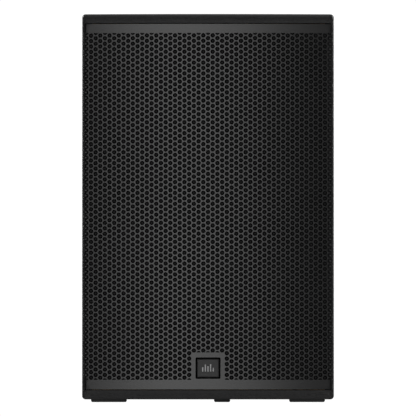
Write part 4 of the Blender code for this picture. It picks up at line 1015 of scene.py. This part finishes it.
def make_power():
    place = on_panel(INLET_X, POWER_Z)
    hollow = stack((0.0122, 0.0084), ((0, 0.002, -0.0177), (0, 0.002, 0.0016), (0.0008, 0.0026, 0.0026),
                                      (0.001, 0.0028, 0.01)), 3)
    fitting("inlet_body", "mains_inlet", place, (0.025, 0.0135), 0.005, 0.0007,
            post((0.014, 0.0102), 0.002, -0.0217, 0.001, 3), [(hollow, place)], 8)
    pin = post((0.001, 0.002), 0.0002, -0.0179, -0.003, 1)
    pin.append(rounded((0.0005, 0.0014), 0.0001, -0.0018, 1))
    pins = [(pin, moved(place, x, z)) for x, z in ((-0.007, -0.002), (0.007, -0.002), (0.0, 0.002))]
    add(lofts("inlet_pins", pins, "contact_metal"), "steel")
    spots = [moved(place, x, 0, FLANGE[1]) for x in (-0.02, 0.02)]
    add_screws("inlet_screws", spots, 0.0027, 0.001, 0.0011)

    place = on_panel(RIGHT_COLUMN_X, POWER_Z)
    fitting("switch_frame", "power_switch_frame", place, (0.0105, 0.0155), 0.002, 0.0006,
            post((0.009, 0.0138), 0.0015, -0.0197, 0.001, 3),
            [(post((0.0068, 0.0126), 0.0005, -0.0157, 0.01, 2), place)])
    make_rocker()


def make_rocker():
    """The rocker with its round and straight marks, tilted as it rests."""
    pivot = (RIGHT_COLUMN_X, FLOOR_Y - 0.0007, POWER_Z)
    tilt = Matrix.Translation(pivot) @ Matrix.Rotation(radians(-11), 4, "X")
    steps, half, face_y, dip = 20, 0.011, 0.0055, 0.0013
    outline = [(face_y - dip * cos(2 * pi * i / steps), half * (2 * i / steps - 1))
               for i in range(steps + 1)]
    outline += [(0.0, half), (-0.006, 0.0045), (-0.006, -0.0045), (0.0, -half)]
    rings = []
    for x, shrink in ((-0.0062, 0.0004), (-0.0058, 0.0), (0.0058, 0.0), (0.0062, 0.0004)):
        rings.append([(x, y - copysign(min(shrink, abs(y)), y) if y > 0.003 else y,
                       z * (1 - shrink / 0.011)) for y, z in outline])
    build("rocker", rings, "moulded_plastic", tilt, "moulded_plastic", "power_rocker", body="power_rocker",
          sharp_over=40)
    marks = []

    def mark(x, z, half_x, half_z):
        angle = pi * (z / half + 1)
        slope = dip * sin(angle) * pi / half
        spot = tilt @ facing((x, face_y - dip * cos(angle) - 0.0001, z), (-1, 0, 0), (0, 1, -slope))
        marks.append((pad((half_x, half_z), 0.0002, 0.0, 0.00025, 0.00006, 2), spot))

    for step in range(-2, 3):
        mark(0, -0.0062 + step * 0.0007, 0.00028, 0.00042)
    for step in range(28):
        angle = 2 * pi * step / 28
        mark(0.0018 * cos(angle), 0.0062 + 0.0018 * sin(angle), 0.00026, 0.00026)
    add(lofts("rocker_marks", marks, "panel_ink"), "light_plastic", body="power_rocker")


# --- the woofer's flexing parts, and the CAD nodes that stay ---


def make_flexing_rings():
    """The surround and the spider, in twelve sectors each, between the frame and the cone."""
    sectors, fine = 12, 6
    seat_y = -0.145
    roll, middle, sheet = (0.0075, 0.008), 0.129, 0.0007

    def half_roll(offset, count=14):
        turns = [pi * i / count for i in range(count + 1)]
        return [(middle - (roll[0] + offset) * cos(a), seat_y - (roll[1] + offset) * sin(a))
                for a in turns]

    over = [(0.118, seat_y), *half_roll(0.0), (0.144, seat_y), (0.152, seat_y)]
    under = [(0.152, seat_y + sheet), (0.144, seat_y + sheet), *half_roll(-sheet)[1:-1][::-1],
             (0.118, seat_y + sheet)]
    surround = over + under
    start, end, folds = 0.0384, 0.0856, 8
    fine_folds = folds * 4
    ripple = [(start + (end - start) * i / fine_folds, -0.062 - 0.002 * cos(pi * i / 4))
              for i in range(fine_folds + 1)]
    spider = ripple + [(radius, y + sheet) for radius, y in reversed(ripple)]
    for name, profile, node, inner, outer in (
        ("surround", surround, "woofer_surround", 0.1215, 0.1345),
        ("spider", spider, "woofer_spider", 0.04, 0.081),
    ):
        for sector in range(sectors):
            rings = []
            for i in range(fine + 1):
                angle = 2 * pi * (sector + i / fine) / sectors
                rings.append([(radius * cos(angle), y, WOOFER_Z + radius * sin(angle))
                              for radius, y in profile])
            piece = loft(f"woofer_{name}_sector_{sector + 1:02d}", rings, "treated_cloth", sharp_over=50)
            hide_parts(node)
            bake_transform(piece)


def finish_kept_nodes():
    """Every CAD node that is still shown gets the worked-up material of its slot."""
    slots = {entry["node"]: entry["material_slot"] for entry in frame["record"]["subparts"]}
    for name, node in frame["nodes"].items():
        for slot in node.material_slots:
            slot.link = "OBJECT"
            slot.material = finish(slots[name])


# --- the camera, the light and the floor ---


def make_camera():
    """A very long lens, level with the floor, as the photograph is almost without perspective."""
    lens, seen_width, aim_z = 1500.0, 0.6138, 0.2864
    camera = bpy.data.cameras.new("camera")
    camera.sensor_width, camera.lens = 36.0, lens
    camera.clip_start, camera.clip_end = 1.0, 120.0
    holder = linked("camera", camera)
    target = Vector((0.0, FRONT_Y, aim_z))
    holder.location = Vector((0.0, FRONT_Y - seen_width * lens / camera.sensor_width, 0.0))
    holder.rotation_euler = (target - holder.location).to_track_quat("-Z", "Y").to_euler()
    bpy.context.scene.camera = holder


def make_light(name, place, aim, size, power):
    lamp = bpy.data.lights.new(name, "AREA")
    lamp.shape, lamp.energy = "RECTANGLE", power
    lamp.size, lamp.size_y = size
    holder = linked(name, lamp)
    holder.location = place
    holder.rotation_euler = (Vector(aim) - Vector(place)).to_track_quat("-Z", "Z").to_euler()
    holder.visible_camera = False


def make_world():
    """White where the camera looks, and a faint fill for everything else."""
    world = bpy.data.worlds.new("studio")
    bpy.context.scene.world = world
    nodes = Nodes(world)
    seen = nodes.add("Background", {"Color": (1, 1, 1), "Strength": 1.05})
    felt = nodes.add("Background", {"Color": (1, 1, 1), "Strength": 0.022})
    direct = nodes.add("LightPath").outputs["Is Camera Ray"]
    mixed = nodes.add("MixShader", {0: direct, 1: felt.outputs[0], 2: seen.outputs[0]})
    nodes.set(world.node_tree.nodes["World Output"].inputs["Surface"], mixed.outputs[0])


def make_floor():
    """White paper. Near the cabinet it glows less, so that it takes a soft shadow."""
    shape = bmesh.new()
    bmesh.ops.create_grid(shape, x_segments=8, y_segments=8, size=40.0)
    mesh = bpy.data.meshes.new("floor")
    shape.to_mesh(mesh)
    shape.free()
    floor = linked("floor", mesh)
    floor.location = (0, 0, -0.0001)
    paper = bpy.data.materials.new("floor_paper")
    nodes = Nodes(paper)
    place = nodes.add("TexCoord").outputs["Object"]
    grain = nodes.add("TexNoise", {"Vector": place, "Scale": 6.0, "Detail": 4}).outputs["Fac"]
    tone = nodes.spread(grain, 0.3, 0.7, 0.78, 0.82)
    colour = nodes.add("CombineColor", {"Red": tone, "Green": tone, "Blue": tone}).outputs[0]
    direct = nodes.add("LightPath").outputs["Is Camera Ray"]
    away = nodes.add("VectorMath", {0: place}, operation="LENGTH").outputs["Value"]
    seen_glow = nodes.math("MULTIPLY", nodes.spread(away, 0.4, 2.2, 0.8, 1.02), direct)
    shader = paper.node_tree.nodes["Principled BSDF"]
    for socket, value in (("Base Color", colour), ("Roughness", 0.9), ("Emission Color", (1, 1, 1)),
                          ("Emission Strength", nodes.math("MAXIMUM", seen_glow, 0.12))):
        nodes.set(shader.inputs[socket], value)
    mesh.materials.append(paper)
    floor.visible_shadow = floor.visible_glossy = False


def make_studio():
    for lamp in (
        ("key", (-0.35, -4.2, 0.35), (0, -0.17, 0.29), (2.4, 2.6), 61.5),
        ("right_front", (2.4, -0.9, 0.7), (0.18, -0.1, 0.29), (0.5, 1.6), 3),
        ("right_rear", (1.7, 3.0, 1.1), (0.1, 0.1, 0.29), (1.2, 1.8), 105),
        ("left_rear", (-1.8, 3.0, 1.1), (-0.17, 0.1, 0.29), (1.2, 1.8), 105),
        ("overhead", (0.2, 1.0, 2.8), (0, 0, 0.5), (1.8, 1.4), 24),
        ("under", (0.0, -0.25, -1.2), (0, -0.17, 0.0), (1.6, 0.7), 3.5),
    ):
        make_light(*lamp)
    make_world()
    make_floor()
    bpy.context.scene.view_settings.view_transform = "Standard"


# --- the whole ---


def main():
    make_camera()
    make_studio()
    finish_kept_nodes()
    make_shell()
    make_grille()
    make_badge()
    make_feet()
    side, top = handle_frames()
    make_handle("side_handle", side, 0.052, 0.0028, 0.014)
    make_handle("top_handle", top, 0.042, -0.0003, 0.0145)
    make_plugs()
    make_amp_panel()
    make_knobs()
    make_buttons()
    make_sockets()
    make_power()
    make_flexing_rings()


main()
